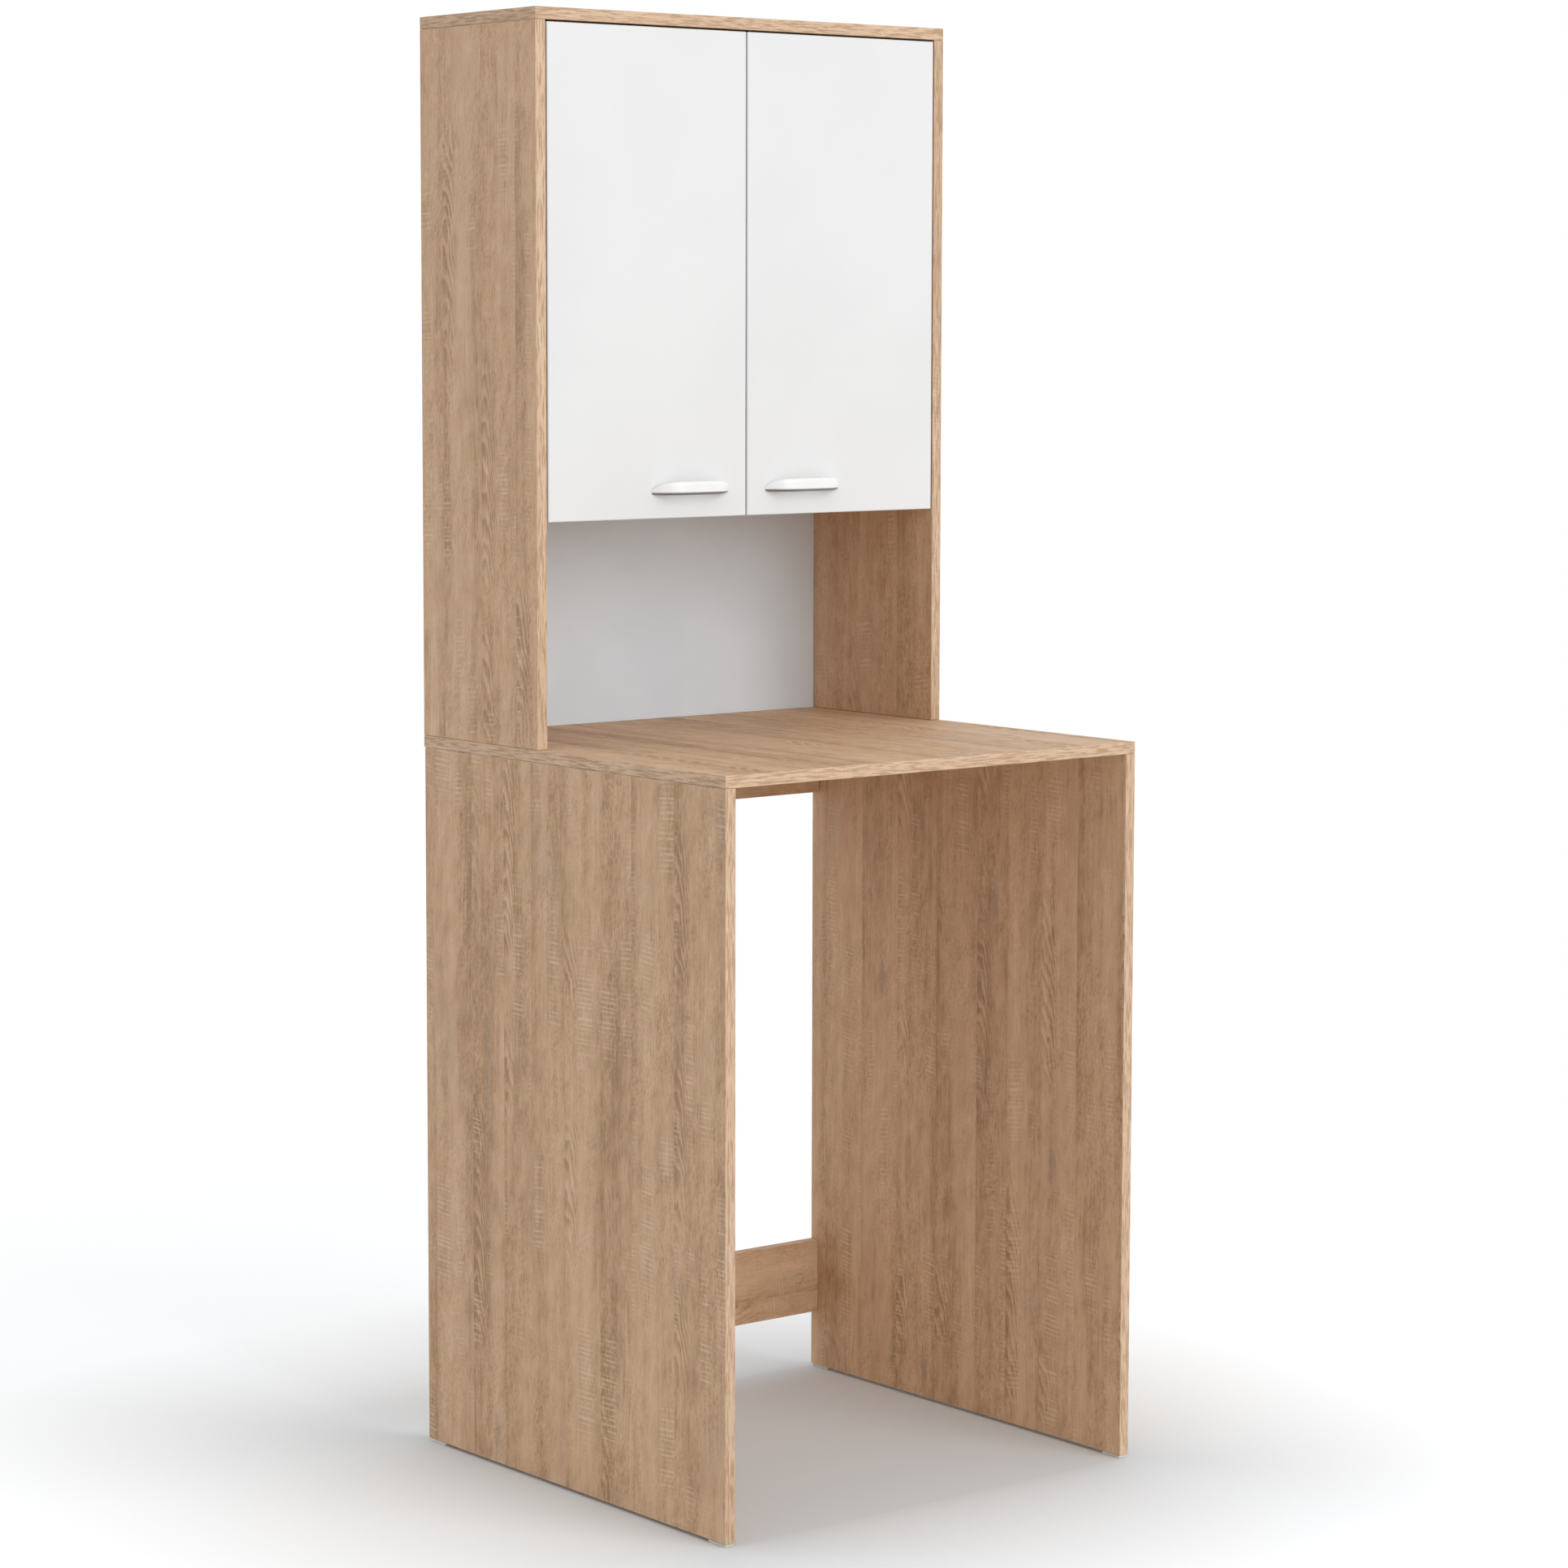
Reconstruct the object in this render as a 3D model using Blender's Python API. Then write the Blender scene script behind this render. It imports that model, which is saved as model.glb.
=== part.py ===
"""Washing machine cabinet: an open bay under a worktop, with a niche and a two-door cupboard above.

Metres, +Z up. The origin is on the floor at the middle of the cabinet's width and depth,
and the front faces -Y. Left and right are as seen from the front.
"""

import math

import bmesh
import bpy
from mathutils import Matrix, Vector

# Overall sizes
WIDTH = 0.656
LOWER_DEPTH = 0.618
UPPER_DEPTH = 0.247
TOTAL_HEIGHT = 1.821
WORKTOP_HEIGHT = 0.917
NICHE_HEIGHT = 0.2795

# Boards
BOARD = 0.015
BACK_BOARD = 0.003
REBATE_WIDTH = 0.008
EDGE_ROUND = 0.0006
SIDE_REAR_SETBACK = 0.002
RAIL_HEIGHT = 0.1
LOW_RAIL_BOTTOM = 0.08
SHELF_SETBACK = 0.018
SHELF_REAR_GAP = 0.001

# Doors
DOOR_SIDE_GAP = 0.0024
DOOR_MIDDLE_GAP = 0.0026
DOOR_TOP_GAP = 0.0026
DOOR_BOTTOM_LAP = 0.002
SWING_CLEARANCE = 0.0008
DOOR_ROUND = 0.0008

# Clearances and cutting
SEAT = 0.0003
TURNING = 0.00015
OVERRUN = 0.002
MERGE = 0.00001
HOLE_SIDES = 12
PIN_SIDES = 16
PIVOT_SIDES = 24
CUP_SIDES = 48
EYE_STEPS = 18
SMOOTH_BELOW = math.radians(30)
HANDLE_SMOOTH_BELOW = math.radians(50)

# Bow handle, a flat crescent that tapers to the door at both ends
HANDLE_LENGTH = 0.122
HANDLE_STANDOFF = 0.022
HANDLE_THICKNESS = 0.0065
HANDLE_FINGER_LENGTH = 0.078
HANDLE_HEIGHT = 0.017
HANDLE_TIP_HEIGHT = 0.009
HANDLE_FROM_BOTTOM = 0.029
HANDLE_FROM_MIDDLE_EDGE = 0.0285
HANDLE_STATIONS = 29
HANDLE_SECTION_POINTS = 14
HANDLE_ARCH_POWER = 4.2
HANDLE_TIP_POWER = 9
HANDLE_ROUNDING_POWER = 0.6

# Glides under the lower sides
GLIDE_HEIGHT = 0.004
GLIDE_LENGTH = 0.032
GLIDE_WIDTH = 0.0126
GLIDE_END_SETBACK = 0.002
GLIDE_ROUND = 0.0012
GLIDE_PEG_RADIUS = 0.0025
GLIDE_PEG_LENGTH = 0.01

# Shelf pins and their holes
PIN_HOLE_RADIUS = 0.0025
PIN_HOLE_DEPTH = 0.009
PIN_HOLE_PITCH = 0.032
PIN_HOLES_PER_ROW = 5
PIN_FRONT_INSET = 0.045
PIN_REAR_INSET = 0.04
PIN_SHANK_RADIUS = 0.0022
PIN_COLLAR_RADIUS = 0.0036
PIN_COLLAR_LENGTH = 0.0009
PIN_REACH = 0.0095

# Cup hinges: a cup in the door, an arm that hooks into it, and a plate on the side
CUP_RADIUS = 0.0175
CUP_DEPTH = 0.012
CUP_WALL = 0.0008
CUP_CORNER = 0.0015
CUP_FROM_DOOR_EDGE = 0.0045
FLANGE_THICKNESS = 0.001
FLANGE_RIM = 0.0008
FLANGE_EAR_RADIUS = 0.0065
FLANGE_SCREW_SPREAD = 0.048
FLANGE_SCREW_OFFSET = 0.006
HINGE_SCREW_RADIUS = 0.0019
HINGE_PIN_RADIUS = 0.00125
PIN_FROM_CUP_MIDDLE = 0.0094
EYE_RADIUS = 0.0024
ARM_WIDTH = 0.014
ARM_SHEET = 0.002
ARM_CHEEK = 0.0015
ARM_HEIGHT = 0.014
ARM_BASE_GAP = 0.0045
ARM_BODY_LENGTH = 0.037
ARM_SCREW_RADIUS = 0.0026
ARM_SCREW_INSET = 0.007
HOOK_REACH = 0.0132
HOOK_RISE = 0.0155
HOOK_DROP = 0.0019
CRANK_SHOULDER = 0.0045
CRANK_NECK = 0.002
CRANK_RUN = 0.0175
PLATE_SCREW_SETBACK = 0.0535
PLATE_SCREW_SPREAD = 0.032
PLATE_THICKNESS = 0.002
PLATE_WING_LENGTH = 0.046
PLATE_WING_WIDTH = 0.012
PLATE_BODY_LENGTH = 0.036
PLATE_BODY_WIDTH = 0.017
PLATE_KEY_LENGTH = 0.026
HINGE_FROM_DOOR_END = 0.1

# Wall brackets inside the cupboard
BRACKET_LEG = 0.03
BRACKET_WIDTH = 0.016
BRACKET_SHEET = 0.0018
BRACKET_HOLE_RADIUS = 0.0023
BRACKET_BELOW_TOP = 0.03

FINISHES = {
    "oak": ((0.46, 0.32, 0.2), 0.55, 0.0),
    "white_board": ((0.87, 0.87, 0.86), 0.35, 0.0),
    "white_backing": ((0.82, 0.82, 0.81), 0.6, 0.0),
    "white_plastic": ((0.9, 0.9, 0.89), 0.3, 0.0),
    "pale_plastic": ((0.75, 0.73, 0.68), 0.5, 0.0),
    "steel": ((0.62, 0.62, 0.6), 0.3, 1.0),
}

# Places that follow from the sizes
OUTER_X = WIDTH / 2
INNER_X = OUTER_X - BOARD
FRONT_Y = -LOWER_DEPTH / 2
REAR_Y = LOWER_DEPTH / 2
UPPER_FRONT_Y = REAR_Y - UPPER_DEPTH
BACKING_FRONT_Y = REAR_Y - BACK_BOARD
DOOR_BACK_Y = UPPER_FRONT_Y + BOARD
WORKTOP_UNDER_Z = WORKTOP_HEIGHT - BOARD
TOP_UNDER_Z = TOTAL_HEIGHT - BOARD
DOOR_BOTTOM_Z = WORKTOP_HEIGHT + NICHE_HEIGHT
DOOR_TOP_Z = TOP_UNDER_Z - DOOR_TOP_GAP
CUPBOARD_FLOOR_UNDER_Z = DOOR_BOTTOM_Z + DOOR_BOTTOM_LAP
CUPBOARD_FLOOR_Z = CUPBOARD_FLOOR_UNDER_Z + BOARD
DOOR_OUTER_X = INNER_X - DOOR_SIDE_GAP
DOOR_INNER_X = DOOR_MIDDLE_GAP / 2

# The pin's place in the door: from its hinged edge, and from its front face
PIN_FROM_EDGE = CUP_FROM_DOOR_EDGE + CUP_RADIUS - PIN_FROM_CUP_MIDDLE
PIN_FROM_FRONT = BOARD - CUP_DEPTH + CUP_WALL + SEAT + EYE_RADIUS
AXIS_X = DOOR_OUTER_X - PIN_FROM_EDGE
AXIS_Y = UPPER_FRONT_Y + PIN_FROM_FRONT
HINGE_LEVELS = {"low": DOOR_BOTTOM_Z + HINGE_FROM_DOOR_END, "high": DOOR_TOP_Z - HINGE_FROM_DOOR_END}
# The door's hinged edge sweeps behind its back face as it opens, and the cupboard floor stays clear of it.
EDGE_SWEEP = math.hypot(PIN_FROM_EDGE, BOARD - PIN_FROM_FRONT)
CUPBOARD_FLOOR_FRONT_Y = AXIS_Y + EDGE_SWEEP + SWING_CLEARANCE

LEFT, RIGHT = -1, 1


def clear_scene():
    for obj in list(bpy.data.objects):
        bpy.data.objects.remove(obj, do_unlink=True)


def finish(obj, kind):
    """Gives the object a material of its own."""
    colour, roughness, metallic = FINISHES[kind]
    material = bpy.data.materials.new(obj.name + "_finish")
    material.use_nodes = True
    shader = material.node_tree.nodes["Principled BSDF"]
    shader.inputs["Base Color"].default_value = (*colour, 1.0)
    shader.inputs["Roughness"].default_value = roughness
    shader.inputs["Metallic"].default_value = metallic
    obj.data.materials.clear()
    obj.data.materials.append(material)
    return obj


def add_object(name, mesh, place=(0, 0, 0)):
    obj = bpy.data.objects.new(name, mesh)
    obj.location = place
    bpy.context.scene.collection.objects.link(obj)
    return obj


def mesh_from(name, form):
    """Turns a bmesh into a mesh with its faces pointing out."""
    bmesh.ops.recalc_face_normals(form, faces=form.faces)
    mesh = bpy.data.meshes.new(name)
    form.to_mesh(mesh)
    form.free()
    return mesh


def box_mesh(name, size):
    form = bmesh.new()
    bmesh.ops.create_cube(form, size=1)
    bmesh.ops.scale(form, vec=Vector(size), verts=form.verts)
    return mesh_from(name, form)


def prism_mesh(name, outline, height):
    """Extrudes an outline in X and Y, up and down from its middle."""
    form = bmesh.new()
    corners = [form.verts.new((x, y, -height / 2)) for x, y in outline]
    face = form.faces.new(corners)
    raised = bmesh.ops.extrude_face_region(form, geom=[face])["geom"]
    moved = [item for item in raised if isinstance(item, bmesh.types.BMVert)]
    bmesh.ops.translate(form, vec=(0, 0, height), verts=moved)
    return mesh_from(name, form)


def rod(start, end, radius):
    """Profile of a plain rod, or of the hole for one, between two distances along its axis."""
    return [(start, 0), (start, radius), (end, radius), (end, 0)]


def turned_mesh(name, profile, axis, sides):
    """Spins a profile of (distance along the axis, radius), which starts and ends on the axis."""
    along = Vector(axis)
    out = along.orthogonal().normalized()
    form = bmesh.new()
    points = [form.verts.new(along * far + out * radius) for far, radius in profile]
    edges = [form.edges.new(pair) for pair in zip(points, points[1:])]
    turn = {"cent": (0, 0, 0), "axis": along, "angle": math.tau, "steps": sides}
    bmesh.ops.spin(form, geom=points + edges, use_merge=True, **turn)
    bmesh.ops.remove_doubles(form, verts=form.verts, dist=MERGE)
    mesh = mesh_from(name, form)
    mesh.shade_smooth()
    mesh.set_sharp_from_angle(angle=SMOOTH_BELOW)
    return mesh


def rounded(obj, width, segments=1):
    bevel = obj.modifiers.new("edge_rounding", "BEVEL")
    bevel.width = width
    bevel.segments = segments
    bevel.limit_method = "ANGLE"
    return obj


def board(name, low, high, kind, rounding=EDGE_ROUND):
    """A board between two corners, its origin at its middle."""
    low, high = Vector(low), Vector(high)
    obj = add_object(name, box_mesh(name, high - low), (low + high) / 2)
    rounded(obj, rounding)
    return finish(obj, kind)


def combine(obj, mesh, place, operation="DIFFERENCE"):
    """Cuts the mesh, placed in the scene's frame, from the object, or joins it to it."""
    helper = add_object(obj.name + "_helper", mesh, Vector(place) - obj.location)
    helper.parent = obj
    helper.hide_render = True
    helper.display_type = "WIRE"
    change = obj.modifiers.new(operation.lower(), "BOOLEAN")
    change.operation = operation
    change.solver = "EXACT"
    change.object = helper
    return obj


def drill(obj, profile, axis, places, sides=HOLE_SIDES):
    """Cuts one profile from the object at several places in one go."""
    form = bmesh.new()
    for place in places:
        hole = turned_mesh("hole", profile, axis, sides)
        hole.transform(Matrix.Translation(Vector(place)))
        form.from_mesh(hole)
        bpy.data.meshes.remove(hole)
    return combine(obj, mesh_from("holes", form), (0, 0, 0))


def settled_mesh(obj):
    """The object's mesh with its modifiers carried out. The object and its helpers are removed."""
    bpy.context.view_layer.update()
    graph = bpy.context.evaluated_depsgraph_get()
    mesh = bpy.data.meshes.new_from_object(obj.evaluated_get(graph))
    for child in list(obj.children):
        bpy.data.objects.remove(child, do_unlink=True)
    bpy.data.objects.remove(obj, do_unlink=True)
    return mesh


def side_name(side):
    return "left" if side == LEFT else "right"


def end_name(is_front):
    return "front" if is_front else "rear"


def mirrored_span(side, inner, outer):
    """The low and high X of a piece between two distances from the middle, on one side."""
    return sorted((side * inner, side * outer))


def glide_places():
    """Distances along Y of the middles of the front and rear glides."""
    inset = GLIDE_END_SETBACK + GLIDE_LENGTH / 2
    return {True: FRONT_Y + inset, False: REAR_Y - SIDE_REAR_SETBACK - inset}


def make_lower_side(side):
    left_x, right_x = mirrored_span(side, INNER_X, OUTER_X)
    panel = board(
        side_name(side) + "_lower_side",
        (left_x, FRONT_Y, GLIDE_HEIGHT),
        (right_x, REAR_Y - SIDE_REAR_SETBACK, WORKTOP_UNDER_Z - SEAT),
        "oak",
    )
    middle_x = (left_x + right_x) / 2
    hole = rod(-OVERRUN, GLIDE_PEG_LENGTH + SEAT, GLIDE_PEG_RADIUS + SEAT)
    drill(panel, hole, (0, 0, 1), [(middle_x, y, GLIDE_HEIGHT) for y in glide_places().values()])


def make_glides():
    """Low plastic glides, each with a peg that is pushed into the board's bottom edge."""
    foot_height = GLIDE_HEIGHT - SEAT
    blank = add_object("glide", box_mesh("glide", (GLIDE_WIDTH, GLIDE_LENGTH, foot_height)))
    rounded(blank, GLIDE_ROUND, 2)
    peg = rod(0, GLIDE_PEG_LENGTH, GLIDE_PEG_RADIUS)
    combine(blank, turned_mesh("glide_peg", peg, (0, 0, 1), HOLE_SIDES), (0, 0, 0), "UNION")
    mesh = settled_mesh(blank)
    for side in (LEFT, RIGHT):
        for is_front, y in glide_places().items():
            name = side_name(side) + "_" + end_name(is_front) + "_glide"
            place = (side * (INNER_X + OUTER_X) / 2, y, foot_height / 2)
            finish(add_object(name, mesh.copy(), place), "pale_plastic")


def make_rails():
    """Crosspieces at the rear that keep the open bay square."""
    reach = INNER_X - SEAT
    rear = REAR_Y - SIDE_REAR_SETBACK
    top = WORKTOP_UNDER_Z - SEAT
    board("rear_rail_top", (-reach, rear - BOARD, top - RAIL_HEIGHT), (reach, rear, top), "oak")
    high = LOW_RAIL_BOTTOM + RAIL_HEIGHT
    board("rear_rail_low", (-reach, rear - BOARD, LOW_RAIL_BOTTOM), (reach, rear, high), "oak")


def make_worktop():
    board("worktop", (-OUTER_X, FRONT_Y, WORKTOP_UNDER_Z), (OUTER_X, REAR_Y, WORKTOP_HEIGHT), "oak")


def make_top_panel():
    board("top_panel", (-OUTER_X, UPPER_FRONT_Y, TOP_UNDER_Z), (OUTER_X, REAR_Y, TOTAL_HEIGHT), "oak")


def shelf_level():
    """Height of the shelf's pins: the middle hole of the rows, halfway up the cupboard."""
    return (CUPBOARD_FLOOR_Z + TOP_UNDER_Z) / 2


def pin_rows():
    """Distances along Y of the front and rear rows of shelf pin holes."""
    return {True: DOOR_BACK_Y + PIN_FRONT_INSET, False: BACKING_FRONT_Y - PIN_REAR_INSET}


def make_upper_side(side):
    left_x, right_x = mirrored_span(side, INNER_X, OUTER_X)
    panel = board(
        side_name(side) + "_upper_side",
        (left_x, UPPER_FRONT_Y, WORKTOP_HEIGHT + SEAT),
        (right_x, REAR_Y, TOP_UNDER_Z - SEAT),
        "oak",
    )
    height = TOP_UNDER_Z - WORKTOP_HEIGHT + OVERRUN
    rebate = box_mesh("rebate", (REBATE_WIDTH + OVERRUN, BACK_BOARD + SEAT + OVERRUN, height))
    rebate_x = side * (INNER_X + (REBATE_WIDTH - OVERRUN) / 2)
    rebate_y = BACKING_FRONT_Y + (BACK_BOARD - SEAT + OVERRUN) / 2
    combine(panel, rebate, (rebate_x, rebate_y, (TOP_UNDER_Z + WORKTOP_HEIGHT) / 2))
    middle = (PIN_HOLES_PER_ROW - 1) / 2
    levels = [shelf_level() + (step - middle) * PIN_HOLE_PITCH for step in range(PIN_HOLES_PER_ROW)]
    places = [(side * INNER_X, y, z) for y in pin_rows().values() for z in levels]
    drill(panel, rod(-OVERRUN, PIN_HOLE_DEPTH, PIN_HOLE_RADIUS), (side, 0, 0), places)


def make_cupboard_floor():
    """Lies behind the doors, which lap over its front edge."""
    board(
        "cupboard_floor",
        (-INNER_X + SEAT, CUPBOARD_FLOOR_FRONT_Y, CUPBOARD_FLOOR_UNDER_Z),
        (INNER_X - SEAT, BACKING_FRONT_Y - SEAT, CUPBOARD_FLOOR_Z),
        "oak",
    )


def make_back_panel():
    """Thin white board let into the rebates of the upper sides."""
    reach = INNER_X + REBATE_WIDTH - SEAT
    board(
        "back_panel",
        (-reach, BACKING_FRONT_Y, WORKTOP_HEIGHT + SEAT),
        (reach, REAR_Y, TOP_UNDER_Z - SEAT),
        "white_backing",
        SEAT,
    )


def make_shelf():
    # The ends stay clear of the pins' collars.
    reach = INNER_X - PIN_COLLAR_LENGTH - 2 * SEAT
    low = shelf_level() + PIN_SHANK_RADIUS + SEAT
    board(
        "shelf",
        (-reach, DOOR_BACK_Y + SHELF_SETBACK, low),
        (reach, BACKING_FRONT_Y - SHELF_REAR_GAP, low + BOARD),
        "oak",
    )


def make_shelf_pins():
    """Steel pins with a collar. The shank goes into the side, and the shelf lies on the rest."""
    into = PIN_HOLE_DEPTH - SEAT
    collar_end = SEAT + PIN_COLLAR_LENGTH
    profile = [
        (-PIN_REACH, 0),
        (-PIN_REACH, PIN_SHANK_RADIUS),
        (-collar_end, PIN_SHANK_RADIUS),
        (-collar_end, PIN_COLLAR_RADIUS),
        (-SEAT, PIN_COLLAR_RADIUS),
        (-SEAT, PIN_SHANK_RADIUS),
        (into, PIN_SHANK_RADIUS),
        (into, 0),
    ]
    for side in (LEFT, RIGHT):
        for is_front, y in pin_rows().items():
            name = side_name(side) + "_" + end_name(is_front) + "_shelf_pin"
            mesh = turned_mesh(name, profile, (side, 0, 0), PIN_SIDES)
            finish(add_object(name, mesh, (side * INNER_X, y, shelf_level())), "steel")


def swollen(value):
    """Pushes a point of the unit circle out towards the square round it."""
    return math.copysign(abs(value) ** HANDLE_ROUNDING_POWER, value)


def rounded_section():
    """A section with full corners, from -1 to 1 each way, as pairs of (across, up)."""
    steps = [step + 1 / 2 for step in range(HANDLE_SECTION_POINTS)]
    angles = [math.tau * step / HANDLE_SECTION_POINTS for step in steps]
    return [(swollen(math.cos(a)), swollen(math.sin(a))) for a in angles]


def handle_mesh():
    """A bow between an outer and a shorter inner arch. Its lower edge is straight."""
    outer_half, inner_half = HANDLE_LENGTH / 2, HANDLE_FINGER_LENGTH / 2
    inner_rise = HANDLE_STANDOFF - HANDLE_THICKNESS
    form = bmesh.new()
    rings = []
    for step in range(HANDLE_STATIONS):
        share = math.sin(math.pi * (step / (HANDLE_STATIONS - 1) - 1 / 2))
        arch = 1 - abs(share) ** HANDLE_ARCH_POWER
        outer = Vector((share * outer_half, -HANDLE_STANDOFF * arch, 0))
        inner = Vector((share * inner_half, -inner_rise * arch, 0))
        fall = (HANDLE_HEIGHT - HANDLE_TIP_HEIGHT) * abs(share) ** HANDLE_TIP_POWER
        lift = Vector((0, 0, (HANDLE_HEIGHT - fall) / 2))
        middle = (outer + inner) / 2 + lift
        across = (outer - inner) / 2
        rings.append([form.verts.new(middle + across * a + lift * u) for a, u in rounded_section()])
    for near, far in zip(rings, rings[1:]):
        for step in range(HANDLE_SECTION_POINTS):
            following = (step + 1) % HANDLE_SECTION_POINTS
            form.faces.new((near[step], near[following], far[following], far[step]))
    form.faces.new(rings[0])
    form.faces.new(reversed(rings[-1]))
    mesh = mesh_from("handle", form)
    mesh.shade_smooth()
    mesh.set_sharp_from_angle(angle=HANDLE_SMOOTH_BELOW)
    return mesh


def hang(obj, hanger):
    """Makes the object swing with the empty on the door's axis."""
    obj.parent = hanger
    obj.location -= hanger.location


def make_handle(side, hanger):
    middle_x = DOOR_INNER_X + HANDLE_FROM_MIDDLE_EDGE + HANDLE_LENGTH / 2
    place = (side * middle_x, UPPER_FRONT_Y - SEAT, DOOR_BOTTOM_Z + HANDLE_FROM_BOTTOM)
    handle = finish(add_object(side_name(side) + "_handle", handle_mesh(), place), "white_plastic")
    hang(handle, hanger)


def drum_profile(radius, floor, mouth):
    """Profile of a drum, from its floor with a slanted corner to its mouth."""
    corner = [(floor, radius - CUP_CORNER), (floor + CUP_CORNER, radius)]
    return [(floor, 0), *corner, (mouth, radius), (mouth, 0)]


def cup_levels():
    """Distances behind the pin of the cup's floor, the door's back face and the flange's outer face."""
    door_back = BOARD - PIN_FROM_FRONT
    return door_back - CUP_DEPTH, door_back, door_back + SEAT + FLANGE_THICKNESS


def make_door(side, hanger):
    left_x, right_x = mirrored_span(side, DOOR_INNER_X, DOOR_OUTER_X)
    door = board(
        side_name(side) + "_door",
        (left_x, UPPER_FRONT_Y, DOOR_BOTTOM_Z),
        (right_x, DOOR_BACK_Y, DOOR_TOP_Z),
        "white_board",
        DOOR_ROUND,
    )
    floor, door_back, _ = cup_levels()
    pocket = drum_profile(CUP_RADIUS + SEAT, floor - SEAT, door_back + OVERRUN)
    cup_x = side * (AXIS_X - PIN_FROM_CUP_MIDDLE)
    places = [(cup_x, AXIS_Y, level) for level in HINGE_LEVELS.values()]
    drill(door, pocket, (0, 1, 0), places, CUP_SIDES)
    hang(door, hanger)


def circle_points(radius, middle=(0, 0), points=PIVOT_SIDES):
    """Points round a circle, as (across, up)."""
    angles = [math.tau * step / points for step in range(points)]
    return [(middle[0] + radius * math.cos(a), middle[1] + radius * math.sin(a)) for a in angles]


def cup_mesh():
    """A drum let into the door, with a thin flange that has an ear above and below for a screw."""
    floor, _, flange_top = cup_levels()
    flange_under = flange_top - FLANGE_THICKNESS
    half_spread = FLANGE_SCREW_SPREAD / 2
    outline = circle_points(CUP_RADIUS + FLANGE_RIM, points=CUP_SIDES)
    for end in (-1, 1):
        outline += circle_points(FLANGE_EAR_RADIUS, (FLANGE_SCREW_OFFSET, end * half_spread))
    form = bmesh.new()
    for level in (flange_under, flange_top):
        for across, up in outline:
            form.verts.new((across, level, up))
    hull = bmesh.ops.convex_hull(form, input=form.verts)
    inside = [item for item in hull["geom_interior"] if isinstance(item, bmesh.types.BMVert)]
    bmesh.ops.delete(form, geom=inside, context="VERTS")
    cup = add_object("cup", mesh_from("cup", form))
    outer = drum_profile(CUP_RADIUS, floor, (flange_under + flange_top) / 2)
    inner = drum_profile(CUP_RADIUS - CUP_WALL, floor + CUP_WALL, flange_top + OVERRUN)
    combine(cup, turned_mesh("drum", outer, (0, 1, 0), CUP_SIDES), (0, 0, 0), "UNION")
    combine(cup, turned_mesh("hollow", inner, (0, 1, 0), CUP_SIDES), (0, 0, 0))
    screw = rod(flange_under - OVERRUN, flange_top + OVERRUN, HINGE_SCREW_RADIUS)
    drill(cup, screw, (0, 1, 0), [(FLANGE_SCREW_OFFSET, 0, end * half_spread) for end in (-1, 1)])
    mesh = settled_mesh(cup)
    mesh.transform(Matrix.Translation((PIN_FROM_CUP_MIDDLE, 0, 0)))
    return mesh


def hinge_pin_mesh():
    """A pin across the cup, as long as the chord of the cup's inside there."""
    inside = CUP_RADIUS - CUP_WALL
    half = math.sqrt(inside**2 - (PIN_FROM_CUP_MIDDLE + HINGE_PIN_RADIUS) ** 2) - SEAT
    return turned_mesh("hinge_pin", rod(-half, half, HINGE_PIN_RADIUS), (0, 0, 1), PIVOT_SIDES)


def arm_places():
    """Local X of the arm's outer and inner faces, and local Y of its crank's end and its rear end."""
    wall = -(PIN_FROM_EDGE + DOOR_SIDE_GAP)
    crank_end = HOOK_RISE + CRANK_RUN
    return wall + ARM_HEIGHT, wall + ARM_BASE_GAP, crank_end, crank_end + ARM_BODY_LENGTH


def arm_outline():
    """From the eye on the pin, along the cup's floor, up out of its mouth and back along the side."""
    outer_x, base_x, crank_end, rear = arm_places()
    shoulder = (HOOK_REACH - CRANK_SHOULDER, HOOK_RISE + CRANK_SHOULDER)
    foot_top = ARM_SHEET - HOOK_DROP
    outline = [
        (HOOK_REACH - ARM_SHEET / 2, -HOOK_DROP),
        (HOOK_REACH, ARM_SHEET / 2 - HOOK_DROP),
        (HOOK_REACH, HOOK_RISE),
        shoulder,
        (outer_x, crank_end),
        (outer_x, rear),
        (base_x, rear),
        (base_x, crank_end),
        (shoulder[0] - CRANK_NECK, shoulder[1] - CRANK_NECK),
        (HOOK_REACH - ARM_SHEET, HOOK_RISE - CRANK_NECK),
        (HOOK_REACH - ARM_SHEET, foot_top + ARM_SHEET / 2),
        (HOOK_REACH - ARM_SHEET - ARM_SHEET / 2, foot_top),
    ]
    start, end = math.asin(foot_top / EYE_RADIUS), math.tau - math.asin(HOOK_DROP / EYE_RADIUS)
    for step in range(EYE_STEPS + 1):
        angle = start + (end - start) * step / EYE_STEPS
        outline.append((EYE_RADIUS * math.cos(angle), EYE_RADIUS * math.sin(angle)))
    return outline


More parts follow.
